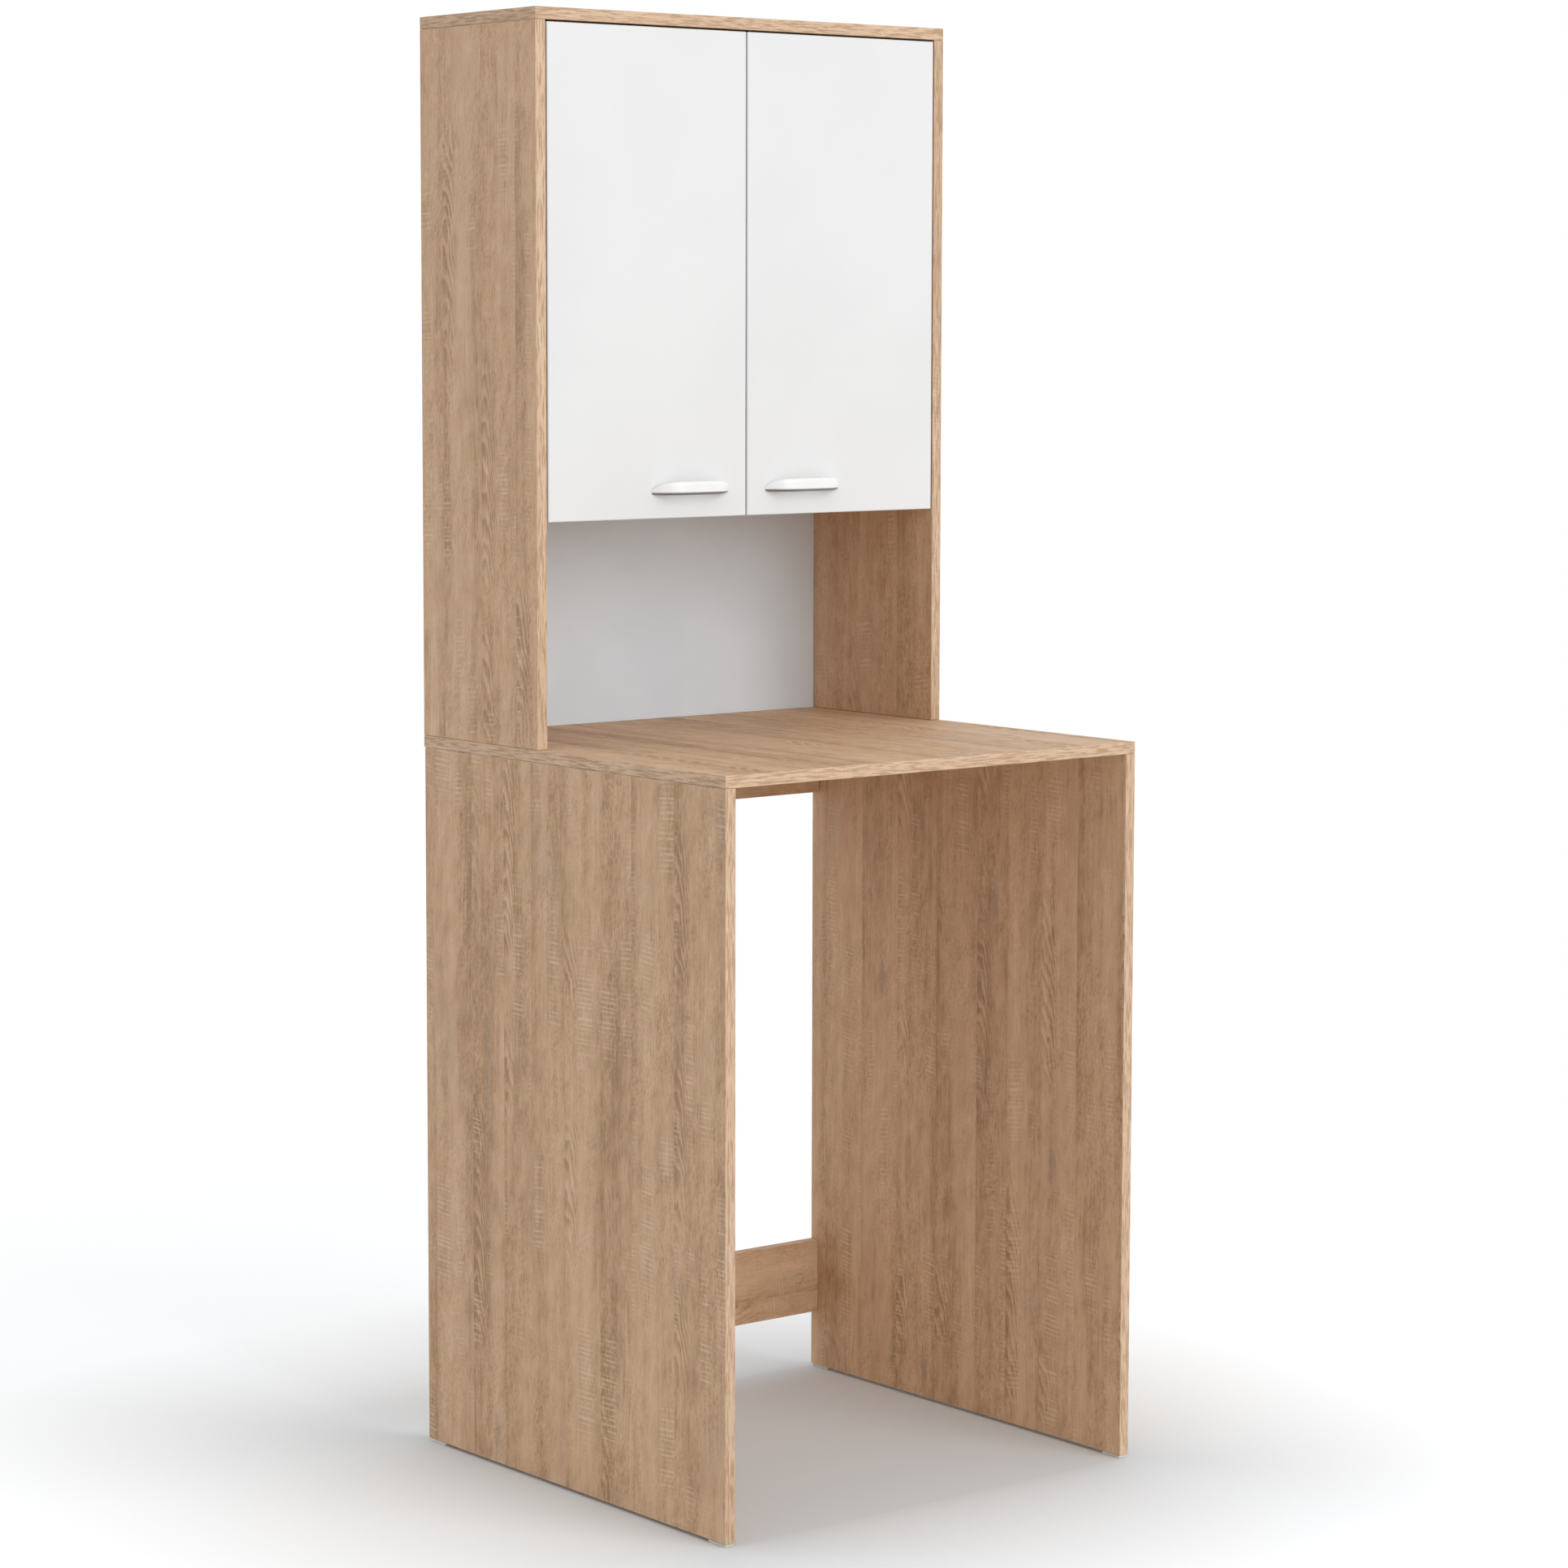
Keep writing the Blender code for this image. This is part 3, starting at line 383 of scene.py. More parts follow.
def oak_board(node, face, grain, sheet, raw=(), meets=()):
    """Finishes a board in oak. face is the axis that its large faces look along, grain the way its grain
    runs, and sheet a number that tells one sheet of film from the next. raw names the edges without a
    band, such as +Y. meets names the ends that stand against a board."""
    material, tree, shader, where = start_finish(node + "_oak")
    place = add_node(tree, "SeparateXYZ", {0: where["Object"]}).outputs
    looks = add_node(tree, "SeparateXYZ", {0: where["Normal"]}).outputs
    thick, length = AXES.index(face), AXES.index(grain)
    breadth = 3 - thick - length

    def sheet_place(across, along, number):
        return add_node(tree, "CombineXYZ", {0: place[across], 1: place[along], 2: number}).outputs[0]

    def facing(axis):
        return calculate(tree, "ABSOLUTE", looks[axis])

    # The film differs on the two large faces, and each edge band runs along its own edge.
    side = calculate(tree, "MULTIPLY_ADD", calculate(tree, "SIGN", looks[thick]), FACE_SHIFT, sheet)
    on_face = sheet_place(breadth, length, side)
    end_band = sheet_place(thick, breadth, sheet + END_BAND_SHIFT)
    long_band = sheet_place(thick, length, sheet + LONG_BAND_SHIFT)
    is_end = calculate(tree, "GREATER_THAN", facing(length), facing(breadth))
    band = add_node(tree, "Mix", {0: is_end, 4: long_band, 5: end_band}, data_type="VECTOR").outputs[1]
    is_face = calculate(tree, "GREATER_THAN", facing(thick), SQUARE_ON)
    spot = add_node(tree, "Mix", {0: is_face, 4: band, 5: on_face}, data_type="VECTOR").outputs[1]
    print_node = add_node(tree, "Group", node_tree=OAK_PRINT)
    tree.links.new(spot, print_node.inputs["Place"])
    colour, roughness, height = print_node.outputs

    # The bands are cut from thin paper: paler, with fine dark threads along their length.
    stretched = {0: band, 1: THREADS_PER_METRE}
    thread_spot = add_node(tree, "VectorMath", stretched, operation="MULTIPLY").outputs[0]
    threads = ramp(tree, noise_at(tree, thread_spot, 1.0, 3.0), 0.45, 0.62, 0.0, 0.7)
    off_face = calculate(tree, "SUBTRACT", 1.0, is_face)
    colour = blend(tree, calculate(tree, "MULTIPLY", off_face, 0.5), colour, OAK_BAND)
    colour = blend(tree, calculate(tree, "MULTIPLY", off_face, threads), colour, OAK_STREAK)

    # The arrises get a painted highlight, a paler colour along them, and are a little duller.
    arris_highlight = ramp(tree, arris_distance(tree, where["Object"], node), 0.0002, ARRIS_HIGHLIGHT_WIDTH, 1.0, 0.0)
    uneven = ramp(tree, noise_at(tree, where["Object"], 60.0, 4.0), 0.38, 0.62, 0.08, 0.5)
    rub_and_highlight = calculate(tree, "MULTIPLY", arris_highlight, uneven)
    colour = blend(tree, rub_and_highlight, colour, OAK_SAW_MARK_AND_HIGHLIGHT)
    roughness = calculate(tree, "MULTIPLY_ADD", rub_and_highlight, 0.2, roughness)

    # A dark hairline of glue and shade marks each joint on the outer faces.
    box_low, box_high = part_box(node)
    for end in meets:
        level = box_high[2] if end == "top" else box_low[2]
        off_joint = calculate(tree, "ABSOLUTE", calculate(tree, "SUBTRACT", place[2], level))
        hairline = ramp(tree, off_joint, JOINT_LINE * 0.5, JOINT_LINE, 0.62, 0.0)
        outer = calculate(tree, "GREATER_THAN", facing(0), SQUARE_ON)
        colour = blend(tree, calculate(tree, "MULTIPLY", hairline, outer), colour, OAK_PORE)

    if raw:
        # Raw chipboard: flat chips of wood pressed with glue, coarse in the middle.
        bare = 0.0
        for edge in raw:
            way = 1.0 if edge[0] == "+" else -1.0
            outwards = calculate(tree, "MULTIPLY", looks[AXES.index(edge[1])], way)
            there = calculate(tree, "GREATER_THAN", outwards, SQUARE_ON)
            bare = calculate(tree, "MAXIMUM", bare, there)
        chips = add_node(tree, "TexVoronoi", {"Vector": where["Object"], "Scale": 420.0})
        chip = add_node(tree, "SeparateColor", {0: chips.outputs["Color"]}).outputs[0]
        chip_tone = calculate(tree, "MULTIPLY", chip, noise_at(tree, where["Object"], 1500.0, 3.0))
        colour = blend(tree, bare, colour, blend(tree, chip_tone, CHIP_PALE, CHIP_DARK))
        roughness = add_node(tree, "Mix", {0: bare, 2: roughness, 3: 0.9}).outputs[0]
        rough_height = calculate(tree, "MULTIPLY", chip_tone, 3.0)
        height = add_node(tree, "Mix", {0: bare, 2: height, 3: rough_height}).outputs[0]

    tree.links.new(colour, shader.inputs["Base Color"])
    tree.links.new(roughness, shader.inputs["Roughness"])
    bump_from(tree, shader, height, FILM_RELIEF, FILM_RELIEF_SHARE)
    shader.inputs["Specular IOR Level"].default_value = 0.2
    dress(node, material)


oak_board("left_lower_side", "X", "Z", 1.0, ("+Y", "-Z"), ("top",))
oak_board("right_lower_side", "X", "Z", 15.0, ("+Y", "-Z"), ("top",))


# The glides: four low feet of pale polythene, under both ends of each lower side.
# Each is moulded with a peg, which is pushed into a hole in the side's bottom edge.

GLIDE_PALE, GLIDE_SHADE = (0.80, 0.78, 0.72, 1), (0.70, 0.675, 0.61, 1)


def moulded_plastic(name, pale, shade, roughness, texture):
    """Plastic from a mould: a slightly cloudy tone, and a fine even skin with this many pits per metre."""
    material, tree, shader, where = start_finish(name)
    cloud = noise_at(tree, where["Object"], 45.0, 3.0)
    tree.links.new(blend(tree, ramp(tree, cloud, 0.35, 0.65), pale, shade), shader.inputs["Base Color"])
    skin = noise_at(tree, where["Object"], texture, 2.0)
    scuffs = noise_at(tree, where["Object"], 260.0, 5.0)
    dull = ramp(tree, scuffs, 0.4, 0.7, roughness, roughness + 0.16)
    tree.links.new(dull, shader.inputs["Roughness"])
    bump_from(tree, shader, skin, 0.00006)
    return material


glide_polythene = moulded_plastic("glide_polythene", GLIDE_PALE, GLIDE_SHADE, 0.46, 1500.0)
for name in ("left_front_glide", "left_rear_glide", "right_front_glide", "right_rear_glide"):
    dress(name, glide_polythene)


# The rear rails: two crosspieces between the lower sides, oak film on both faces, raw ends.
# A steel cam near each end draws the rail against the side. Its slots take a screwdriver.

oak_board("rear_rail_top", "Y", "X", 43.0, ("+X", "-X"))
oak_board("rear_rail_low", "Y", "X", 57.0, ("+X", "-X"))

STEEL_BRIGHT, STEEL_DULL = (0.80, 0.79, 0.77, 1), (0.60, 0.60, 0.60, 1)
CAM_RADIUS, CAM_PROUD, CAM_SUNK = 0.0075, 0.0003, 0.004
CAM_SLOT_LENGTH, CAM_SLOT_WIDTH, CAM_SLOT_DEPTH = 0.0096, 0.0019, 0.0022
DRUM_INSET, RIM_FOOT, RIM_BEVEL, RIM_WIDTH = 0.0003, 0.0001, 0.0002, 0.0012
DISH_INSET, DISH_DEPTH = 0.0015, 0.0005
CAM_SLOT_TAPER, CUT_OVERRUN = 0.8, 0.002
CAM_SIDES = 40
CAM_FROM_END = 0.034
FIRST_SPIN, SPIN_STEP = 11.0, 37.0
ROUNDED_BELOW = math.radians(28)


def plated_steel(name, dullness):
    """Steel with a bright plating: fine streaks of polish, and faint clouds where hands have been."""
    material, tree, shader, where = start_finish(name)
    cloud = noise_at(tree, where["Object"], 140.0, 4.0)
    tone = blend(tree, ramp(tree, cloud, 0.35, 0.7), STEEL_BRIGHT, STEEL_DULL)
    tree.links.new(tone, shader.inputs["Base Color"])
    stretched = add_node(tree, "Mapping", {"Vector": where["Object"], "Scale": (1.0, 9.0, 1.0)}).outputs[0]
    polish = noise_at(tree, stretched, 520.0, 3.0)
    tree.links.new(ramp(tree, polish, 0.3, 0.7, dullness, dullness + 0.2), shader.inputs["Roughness"])
    bump_from(tree, shader, polish, 0.00002)
    shader.inputs["Metallic"].default_value = 1.0
    return material


def turned(outline, sides):
    """A turned piece about Z, from its outline as pairs of (radius, height), from the bottom up."""
    form = bmesh.new()
    rings = []
    for radius, height in outline:
        if radius == 0:
            rings.append([form.verts.new((0, 0, height))])
            continue
        turns = [math.tau * step / sides for step in range(sides)]
        rings.append([form.verts.new((radius * math.cos(a), radius * math.sin(a), height)) for a in turns])
    for lower, upper in zip(rings, rings[1:]):
        for step in range(sides):
            ahead = (step + 1) % sides
            corners = [lower[step % len(lower)], lower[ahead % len(lower)]]
            corners += [upper[ahead % len(upper)], upper[step % len(upper)]]
            form.faces.new(list(dict.fromkeys(corners)))
    mesh = bpy.data.meshes.new("turned")
    form.to_mesh(mesh)
    form.free()
    return mesh


def cross_bar(length, width, low, high, taper):
    """Two bars crossed, wider at the top than at the bottom, for the recess of a screw or cam."""
    form = bmesh.new()
    corners = []
    for level, grow in ((low, taper), (high, 1.0)):
        long, wide = length / 2 * grow, width / 2 * grow
        ring = [(wide, wide), (long, wide), (long, -wide), (wide, -wide), (wide, -long), (-wide, -long)]
        ring += [(-x, -y) for x, y in ring]
        corners.append([form.verts.new((x, y, level)) for x, y in ring])
    count = len(corners[0])
    for step in range(count):
        ahead = (step + 1) % count
        form.faces.new((corners[0][step], corners[0][ahead], corners[1][ahead], corners[1][step]))
    form.faces.new(corners[0])
    form.faces.new(corners[1])
    bmesh.ops.recalc_face_normals(form, faces=form.faces)
    mesh = bpy.data.meshes.new("cross_bar")
    form.to_mesh(mesh)
    form.free()
    return mesh


def recessed(mesh, recess):
    """Cuts a recess into a turned piece, and smooths its round faces."""
    blank, cutter = bpy.data.objects.new("blank", mesh), bpy.data.objects.new("recess", recess)
    for obj in (blank, cutter):
        bpy.context.scene.collection.objects.link(obj)
    cut = blank.modifiers.new("cut", "BOOLEAN")
    cut.object, cut.operation, cut.solver = cutter, "DIFFERENCE", "EXACT"
    made = bpy.data.meshes.new_from_object(blank.evaluated_get(bpy.context.evaluated_depsgraph_get()))
    bpy.data.objects.remove(blank)
    bpy.data.objects.remove(cutter)
    made.shade_smooth()
    made.set_sharp_from_angle(angle=ROUNDED_BELOW)
    return made


def set_fittings(name, mesh, places, outwards, body, material):
    """One object with a copy of a small fitting at each place, its head looking outwards."""
    turn = Vector(outwards).to_track_quat("Z", "X").to_matrix().to_4x4()
    form = bmesh.new()
    for step, place in enumerate(places):
        single = bmesh.new()
        single.from_mesh(mesh)
        spin = Matrix.Rotation(math.radians(SPIN_STEP * step + FIRST_SPIN), 4, "Z")
        single.transform(Matrix.Translation(place) @ turn @ spin)
        moved = bpy.data.meshes.new("moved")
        single.to_mesh(moved)
        single.free()
        form.from_mesh(moved)
        bpy.data.meshes.remove(moved)
    joined = bpy.data.meshes.new(name)
    form.to_mesh(joined)
    form.free()
    joined.materials.clear()
    joined.materials.append(material)
    fitting = bpy.data.objects.new(name, joined)
    bpy.context.scene.collection.objects.link(fitting)
    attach(fitting, body)


cam_zinc = plated_steel("cam_zinc", 0.34)
cam_outline = [
    (0, -CAM_SUNK), (CAM_RADIUS - DRUM_INSET, -CAM_SUNK), (CAM_RADIUS - DRUM_INSET, 0),
    (CAM_RADIUS, RIM_FOOT), (CAM_RADIUS - RIM_BEVEL, CAM_PROUD), (CAM_RADIUS - RIM_WIDTH, CAM_PROUD),
    (CAM_RADIUS - DISH_INSET, CAM_PROUD - DISH_DEPTH), (0, CAM_PROUD - DISH_DEPTH),
]
slot_floor = CAM_PROUD - CAM_SLOT_DEPTH
cam_recess = cross_bar(CAM_SLOT_LENGTH, CAM_SLOT_WIDTH, slot_floor, CUT_OVERRUN, CAM_SLOT_TAPER)
cam = recessed(turned(cam_outline, CAM_SIDES), cam_recess)

places = []
for rail in ("rear_rail_top", "rear_rail_low"):
    low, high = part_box(rail)
    height = middle_of(rail)[2]
    places += [(low[0] + CAM_FROM_END, low[1], height), (high[0] - CAM_FROM_END, low[1], height)]
set_fittings("rail_cams", cam, places, (0, -1, 0), "cabinet", cam_zinc)


# The worktop: one board across both sides, its grain from front to back, flush with the sides' outer faces.
# Glued dowels hold it in front. At the rear, bolts go through it to cams in the sides below and above.

oak_board("worktop", "Z", "Y", 29.0, ("+Y",), ("foot",))

SIDES = (("left", 1), ("right", -1))
THROUGH_BOLTS_Y = (0.172, 0.268)


def inner_face(board):
    """How far to the right the face of a side lies that looks into the cabinet."""
    low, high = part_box(board)
    return min(low[0], high[0], key=abs)


for side, inwards in SIDES:
    inner_x, top_z = inner_face(side + "_lower_side"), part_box(side + "_lower_side")[1][2]
    places = [(inner_x, y, top_z - CAM_FROM_END) for y in THROUGH_BOLTS_Y]
    set_fittings(side + "_lower_cams", cam, places, (inwards, 0, 0), "cabinet", cam_zinc)


# The upper sides: shallow boards that stand on the worktop, with two rows of holes for the shelf's pins.
# In the niche each cam lies under a round stick-on cover of the same oak film. In the cupboard it is bare.

oak_board("left_upper_side", "X", "Z", 71.0, ("+Y",), ("foot", "top"))
oak_board("right_upper_side", "X", "Z", 85.0, ("+Y",), ("foot", "top"))

COVER_RADIUS, COVER_THICKNESS, COVER_SHEET = 0.0082, 0.00045, 3.3
COVER_BEVEL, COVER_RELIEF = 0.0003, 0.0001
TOP_BOLTS_Y = (0.108, 0.246)
cover_film, tree, shader, where = start_finish("cover_film")
print_node = add_node(tree, "Group", node_tree=OAK_PRINT)
spot = add_node(tree, "SeparateXYZ", {0: where["Object"]}).outputs
place = add_node(tree, "CombineXYZ", {0: spot[1], 1: spot[2], 2: COVER_SHEET}).outputs[0]
tree.links.new(place, print_node.inputs["Place"])
tree.links.new(print_node.outputs["Color"], shader.inputs["Base Color"])
tree.links.new(print_node.outputs["Roughness"], shader.inputs["Roughness"])
bump_from(tree, shader, print_node.outputs["Height"], COVER_RELIEF, FILM_RELIEF_SHARE)
cover_outline = [
    (0, 0), (COVER_RADIUS, 0), (COVER_RADIUS, COVER_THICKNESS * 0.5),
    (COVER_RADIUS - COVER_BEVEL, COVER_THICKNESS), (0, COVER_THICKNESS),
]
cover = turned(cover_outline, CAM_SIDES)
for side, inwards in SIDES:
    low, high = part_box(side + "_upper_side")
    inner_x = inner_face(side + "_upper_side")
    at_foot = [(inner_x, y, low[2] + CAM_FROM_END) for y in THROUGH_BOLTS_Y]
    at_head = [(inner_x, y, high[2] - CAM_FROM_END) for y in TOP_BOLTS_Y]
    set_fittings(side + "_cam_covers", cover, at_foot, (inwards, 0, 0), "cabinet", cover_film)
    set_fittings(side + "_upper_cams", cam, at_head, (inwards, 0, 0), "cabinet", cam_zinc)


# The top panel lies on the upper sides. The cupboard floor lies between them and closes the cupboard above
# the niche. Both are oak boards. Cams in the floor's underside, out of sight, draw it against the sides.

oak_board("top_panel", "Z", "X", 99.0, ("+Y",))
oak_board("cupboard_floor", "Z", "X", 113.0, ("+Y", "+X", "-X"))

FLOOR_CAMS_Y = (0.132, 0.262)
low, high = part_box("cupboard_floor")
places = [(x, y, low[2]) for x in (low[0] + CAM_FROM_END, high[0] - CAM_FROM_END) for y in FLOOR_CAMS_Y]
set_fittings("cupboard_floor_cams", cam, places, (0, 0, -1), "cabinet", cam_zinc)


# The back panel: hardboard 3 mm thick, lacquered white in front and left brown behind.
# It slides into the sides' rebates, and small nails hold it. Their heads lie flush in its rear.

LACQUER_PALE, LACQUER_SHADE = (0.76, 0.835, 0.90, 1), (0.73, 0.805, 0.87, 1)
FIBRE_PALE, FIBRE_DARK = (0.33, 0.205, 0.115, 1), (0.18, 0.10, 0.052, 1)
SCREEN_PITCH = 0.0011
NAIL_RADIUS, NAIL_SPACING, NAIL_FROM_EDGE = 0.0022, 0.148, 0.0038
NAIL_GREY, NAIL_DENT, NAIL_SHADE = (0.34, 0.34, 0.34, 1), 0.0012, 0.0016

backing, tree, shader, where = start_finish("back_panel_hardboard")
spot = where["Object"]
place = add_node(tree, "SeparateXYZ", {0: spot}).outputs
looks = add_node(tree, "SeparateXYZ", {0: where["Normal"]}).outputs
is_rear = calculate(tree, "GREATER_THAN", looks[1], -0.5)
front = blend(tree, ramp(tree, noise_at(tree, spot, 9.0, 3.0), 0.35, 0.65), LACQUER_PALE, LACQUER_SHADE)
fibres = noise_at(tree, spot, 700.0, 5.0)
clouds = noise_at(tree, spot, 14.0, 4.0)
fibre_tone = calculate(tree, "MULTIPLY_ADD", fibres, 0.9, calculate(tree, "MULTIPLY", clouds, 0.2))
rear = blend(tree, ramp(tree, fibre_tone, 0.36, 0.76), FIBRE_DARK, FIBRE_PALE)
panel_low, panel_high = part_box("back_panel")
nail_x = calculate(tree, "SUBTRACT", calculate(tree, "ABSOLUTE", place[0]), panel_high[0] - NAIL_FROM_EDGE)
nail_z = calculate(tree, "SUBTRACT", place[2], panel_low[2] + NAIL_SPACING / 4)
nail_z = calculate(tree, "PINGPONG", nail_z, NAIL_SPACING / 2)
nail_far = calculate(tree, "MULTIPLY_ADD", nail_x, nail_x, calculate(tree, "MULTIPLY", nail_z, nail_z))
nail_far = calculate(tree, "SQRT", nail_far)
nail_head = calculate(tree, "LESS_THAN", nail_far, NAIL_RADIUS)
dent = ramp(tree, nail_far, NAIL_RADIUS, NAIL_RADIUS + NAIL_DENT)
round_nail = ramp(tree, nail_far, NAIL_RADIUS, NAIL_RADIUS + NAIL_SHADE, 0.5, 0.0)
rear = blend(tree, round_nail, rear, FIBRE_DARK)
rear = blend(tree, nail_head, rear, NAIL_GREY)
tree.links.new(blend(tree, is_rear, front, rear), shader.inputs["Base Color"])
wires = [calculate(tree, "MULTIPLY", place[axis], math.tau / SCREEN_PITCH) for axis in (0, 2)]
screen = calculate(tree, "MULTIPLY", *(calculate(tree, "SINE", wire) for wire in wires))
rear_height = calculate(tree, "MULTIPLY_ADD", screen, 0.25, fibres)
rear_height = calculate(tree, "MULTIPLY_ADD", dent, 1.5, rear_height)
roller = noise_at(tree, spot, 420.0, 2.0)
front_height = calculate(tree, "MULTIPLY", roller, 0.2)
height = add_node(tree, "Mix", {0: is_rear, 2: front_height, 3: rear_height}).outputs[0]
lacquer_dull = ramp(tree, roller, 0.3, 0.7, 0.38, 0.5)
rear_dull = calculate(tree, "MULTIPLY_ADD", nail_head, -0.5, 0.92)
dull = add_node(tree, "Mix", {0: is_rear, 2: lacquer_dull, 3: rear_dull}).outputs[0]
tree.links.new(dull, shader.inputs["Roughness"])
bump_from(tree, shader, height, 0.00025, 0.4)
dress("back_panel", backing)


# The shelf: an oak board with a band in front and raw edges elsewhere.
# It lies loose on four plated steel pins, which are pushed into the rows of holes.

oak_board("shelf", "Z", "X", 127.0, ("+Y", "+X", "-X"))
pin_steel = plated_steel("pin_steel", 0.24)
for name in ("left_front_shelf_pin", "left_rear_shelf_pin", "right_front_shelf_pin", "right_rear_shelf_pin"):
    dress(name, pin_steel)


# The doors: chipboard with a smooth white film on both faces, and a white band 1 mm thick round the edges.
# The glue line of the band shows as a hair of grey.

DOOR_WHITE, DOOR_SHADE = (0.845, 0.85, 0.852, 1), (0.825, 0.83, 0.832, 1)
BAND_WHITE, GLUE_GREY = (0.84, 0.842, 0.84, 1), (0.60, 0.60, 0.59, 1)
BAND_THICKNESS, GLUE_LINE = 0.001, 0.00016

for side in ("left", "right"):
    node = side + "_door"
    film, tree, shader, where = start_finish(node + "_white")
    spot = where["Object"]
    looks = add_node(tree, "SeparateXYZ", {0: where["Normal"]}).outputs
    is_face = calculate(tree, "GREATER_THAN", calculate(tree, "ABSOLUTE", looks[1]), SQUARE_ON)
    colour = blend(tree, ramp(tree, noise_at(tree, spot, 6.0, 3.0), 0.35, 0.65), DOOR_WHITE, DOOR_SHADE)
    arris = arris_distance(tree, spot, node)
    off_line = calculate(tree, "ABSOLUTE", calculate(tree, "SUBTRACT", arris, BAND_THICKNESS))
    glue = calculate(tree, "MULTIPLY", ramp(tree, off_line, GLUE_LINE * 0.4, GLUE_LINE, 0.55, 0.0), is_face)
    broken = ramp(tree, noise_at(tree, spot, 35.0, 3.0), 0.35, 0.6, 0.4, 1.0)
    glue = calculate(tree, "MULTIPLY", glue, broken)
    colour = blend(tree, calculate(tree, "LESS_THAN", arris, BAND_THICKNESS), colour, BAND_WHITE)
    colour = blend(tree, glue, colour, GLUE_GREY)
    rub_and_highlight = ramp(tree, arris, 0.0001, 0.0006, 1.0, 0.0)
    uneven = ramp(tree, noise_at(tree, spot, 90.0, 4.0), 0.5, 0.7, 0.0, 0.25)
    rub_and_highlight = calculate(tree, "MULTIPLY", rub_and_highlight, uneven)
    colour = blend(tree, rub_and_highlight, colour, GLUE_GREY)
    tree.links.new(colour, shader.inputs["Base Color"])
    pearl = noise_at(tree, spot, 1100.0, 2.0)
    hands = noise_at(tree, spot, 11.0, 5.0)
    dull = calculate(tree, "MULTIPLY_ADD", pearl, 0.06, ramp(tree, hands, 0.35, 0.7, 0.34, 0.44))
    tree.links.new(dull, shader.inputs["Roughness"])
    bump_from(tree, shader, pearl, 0.00005)
    shader.inputs["Specular IOR Level"].default_value = 0.4
    dress(node, film)


# The hinges: a plated steel cup in the door, a pin, a cranked arm and a plate on the side, held by screws
# with cross recesses. Two hold the cup's flange, two the plate, and two the arm, which also set the door.

hinge_steel = plated_steel("hinge_steel", 0.22)
screw_steel = plated_steel("screw_steel", 0.28)
FLANGE_SCREW_UP, FLANGE_SCREW_ACROSS = 0.024, 0.0154
PLATE_SCREW_UP, PLATE_SCREW_BEHIND = 0.016, 0.047
ARM_SCREWS_BEHIND = (0.042, 0.063)
PLATE_FACE_FROM_SIDE, ARM_FACE_FROM_SIDE = 0.0023, 0.014
DOME_STEPS, DOME_POWER, RIM_SHARE, UNDERSIDE_SHARE = 6, 0.6, 0.35, 0.97
CROSS_LENGTH_SHARE, CROSS_WIDTH_SHARE, CROSS_TAPER = 1.15, 0.26, 0.7
CROSS_FLOOR_SHARE, CROSS_TOP_SHARE = 0.25, 1.6
SHANK_STUB = 0.0015
SCREW_SIDES = 28

# Radius and height of the head, and radius of the shank.
FLANGE_SCREW, PLATE_SCREW = (0.0032, 0.0016, 0.0017), (0.0034, 0.0018, 0.0017)
ARM_SCREW = (0.0034, 0.0014, 0.0022)


def pan_screw(head_radius, head_height, shank_radius):
    """A screw with a low domed head and a cross recess. Its origin is under the head."""
    dome = []
    for step in range(DOME_STEPS):
        angle = math.pi / 2 * step / DOME_STEPS
        rise = RIM_SHARE + (1 - RIM_SHARE) * math.sin(angle)
        dome.append((head_radius * math.cos(angle) ** DOME_POWER, head_height * rise))
    outline = [(0, -SHANK_STUB), (shank_radius, -SHANK_STUB), (shank_radius, 0)]
    outline += [(head_radius * UNDERSIDE_SHARE, 0), *dome, (0, head_height)]
    length, width = head_radius * CROSS_LENGTH_SHARE, head_radius * CROSS_WIDTH_SHARE
    floor, top = head_height * CROSS_FLOOR_SHARE, head_height * CROSS_TOP_SHARE
    return recessed(turned(outline, SCREW_SIDES), cross_bar(length, width, floor, top, CROSS_TAPER))


flange_screw = pan_screw(*FLANGE_SCREW)
plate_screw = pan_screw(*PLATE_SCREW)
arm_screw = pan_screw(*ARM_SCREW)
for side, inwards in SIDES:
    for end in ("low", "high"):
        hinge = side + "_" + end + "_hinge_"
        for piece in ("cup", "pin", "arm", "plate"):
            dress(hinge + piece, hinge_steel)
        axis_x, axis_y, level = middle_of(hinge + "pin")
        face_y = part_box(hinge + "cup")[1][1]
        inner_x = inner_face(side + "_upper_side")
        flange_x = axis_x + inwards * FLANGE_SCREW_ACROSS
        flange = [(flange_x, face_y, level + z) for z in (-FLANGE_SCREW_UP, FLANGE_SCREW_UP)]
        plate_x, plate_y = inner_x + inwards * PLATE_FACE_FROM_SIDE, axis_y + PLATE_SCREW_BEHIND
        plate = [(plate_x, plate_y, level + z) for z in (-PLATE_SCREW_UP, PLATE_SCREW_UP)]
        arm = [(inner_x + inwards * ARM_FACE_FROM_SIDE, axis_y + y, level) for y in ARM_SCREWS_BEHIND]
        for screws, screw, places, outwards, body in (
            ("flange_screws", flange_screw, flange, (0, 1, 0), side + "_door"),
            ("plate_screws", plate_screw, plate, (inwards, 0, 0), "cabinet"),
            ("arm_screws", arm_screw, arm, (inwards, 0, 0), "cabinet"),
        ):
            set_fittings(hinge + screws, screw, places, outwards, body, screw_steel)
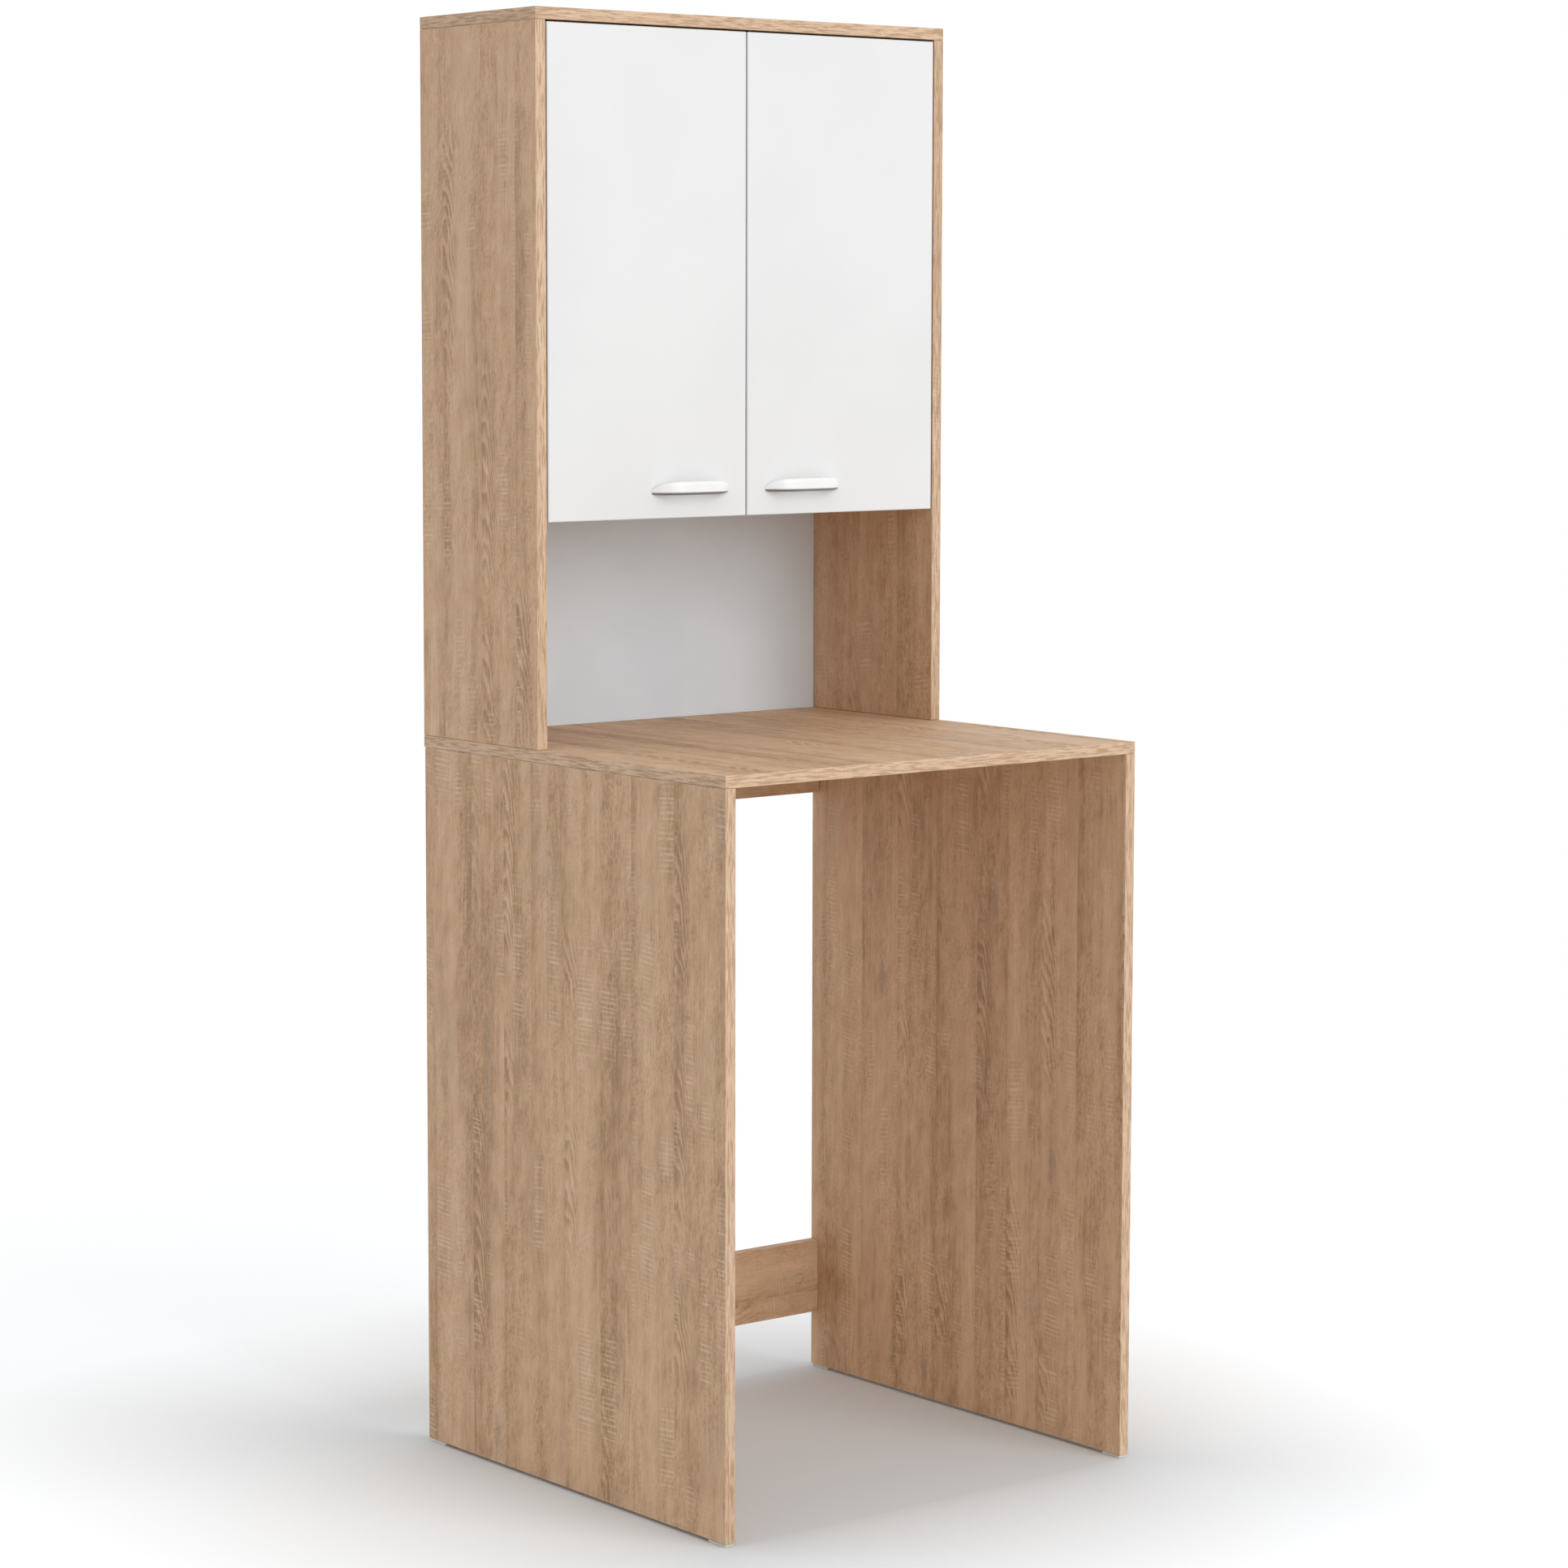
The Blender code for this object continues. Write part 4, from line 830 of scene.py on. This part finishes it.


# The handles: bows of glossy white plastic. A thin band of painted shade greys the lower edge.
# Two screws from the back of each door hold its handle.

HANDLE_WHITE, HANDLE_SHADE = (0.96, 0.96, 0.96, 1), (0.945, 0.945, 0.945, 1)
PAINTED_SHADE_GREY, PAINTED_SHADE_WIDTH, PAINTED_SHADE_BLUR = (0.2, 0.2, 0.2, 1), 0.0042, 0.0014
HANDLE_SCREW_SPREAD, HANDLE_SCREW_UP = 0.096, 0.0045
HANDLE_SCREW = (0.0041, 0.0024, 0.002)
handle_plastic = moulded_plastic("handle_plastic", HANDLE_WHITE, HANDLE_SHADE, 0.16, 900.0)
tree = handle_plastic.node_tree
shader, where = tree.nodes["Principled BSDF"], add_node(tree, "TexCoord").outputs
white = shader.inputs["Base Color"].links[0].from_socket
handle_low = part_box("left_handle")[0]
height = add_node(tree, "SeparateXYZ", {0: where["Object"]}).outputs[2]
above = calculate(tree, "SUBTRACT", height, handle_low[2])
# Painted shade: the lowest few millimetres of each handle are coloured grey.
painted_shade = ramp(tree, above, PAINTED_SHADE_WIDTH - PAINTED_SHADE_BLUR, PAINTED_SHADE_WIDTH, 1.0, 0.0)
tree.links.new(blend(tree, painted_shade, white, PAINTED_SHADE_GREY), shader.inputs["Base Color"])
handle_screw = pan_screw(*HANDLE_SCREW)
for side in ("left", "right"):
    dress(side + "_handle", handle_plastic)
    door_back_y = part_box(side + "_door")[1][1]
    handle_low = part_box(side + "_handle")[0]
    x = middle_of(side + "_handle")[0]
    height = handle_low[2] + HANDLE_SCREW_UP
    places = [(x + way * HANDLE_SCREW_SPREAD / 2, door_back_y, height) for way in (-1, 1)]
    name, body = side + "_handle_screws", side + "_door"
    set_fittings(name, handle_screw, places, (0, 1, 0), body, screw_steel)


# The wall brackets: plated steel angles in the cupboard's upper rear corners. One leg is screwed to the side,
# and the other has a hole for the screw into the wall.

bracket_steel = plated_steel("bracket_steel", 0.3)
BRACKET_SCREW_FROM_REAR, BRACKET_SHEET = 0.0159, 0.0018
BRACKET_SCREW = (0.0038, 0.0019, 0.002)
bracket_screw = pan_screw(*BRACKET_SCREW)
for side, inwards in SIDES:
    dress(side + "_wall_bracket", bracket_steel)
    low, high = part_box(side + "_wall_bracket")
    leg_x = (low[0] if side == "left" else high[0]) + inwards * BRACKET_SHEET
    place = (leg_x, high[1] - BRACKET_SCREW_FROM_REAR, middle_of(side + "_wall_bracket")[2])
    name = side + "_bracket_screw"
    set_fittings(name, bracket_screw, [place], (inwards, 0, 0), "cabinet", screw_steel)
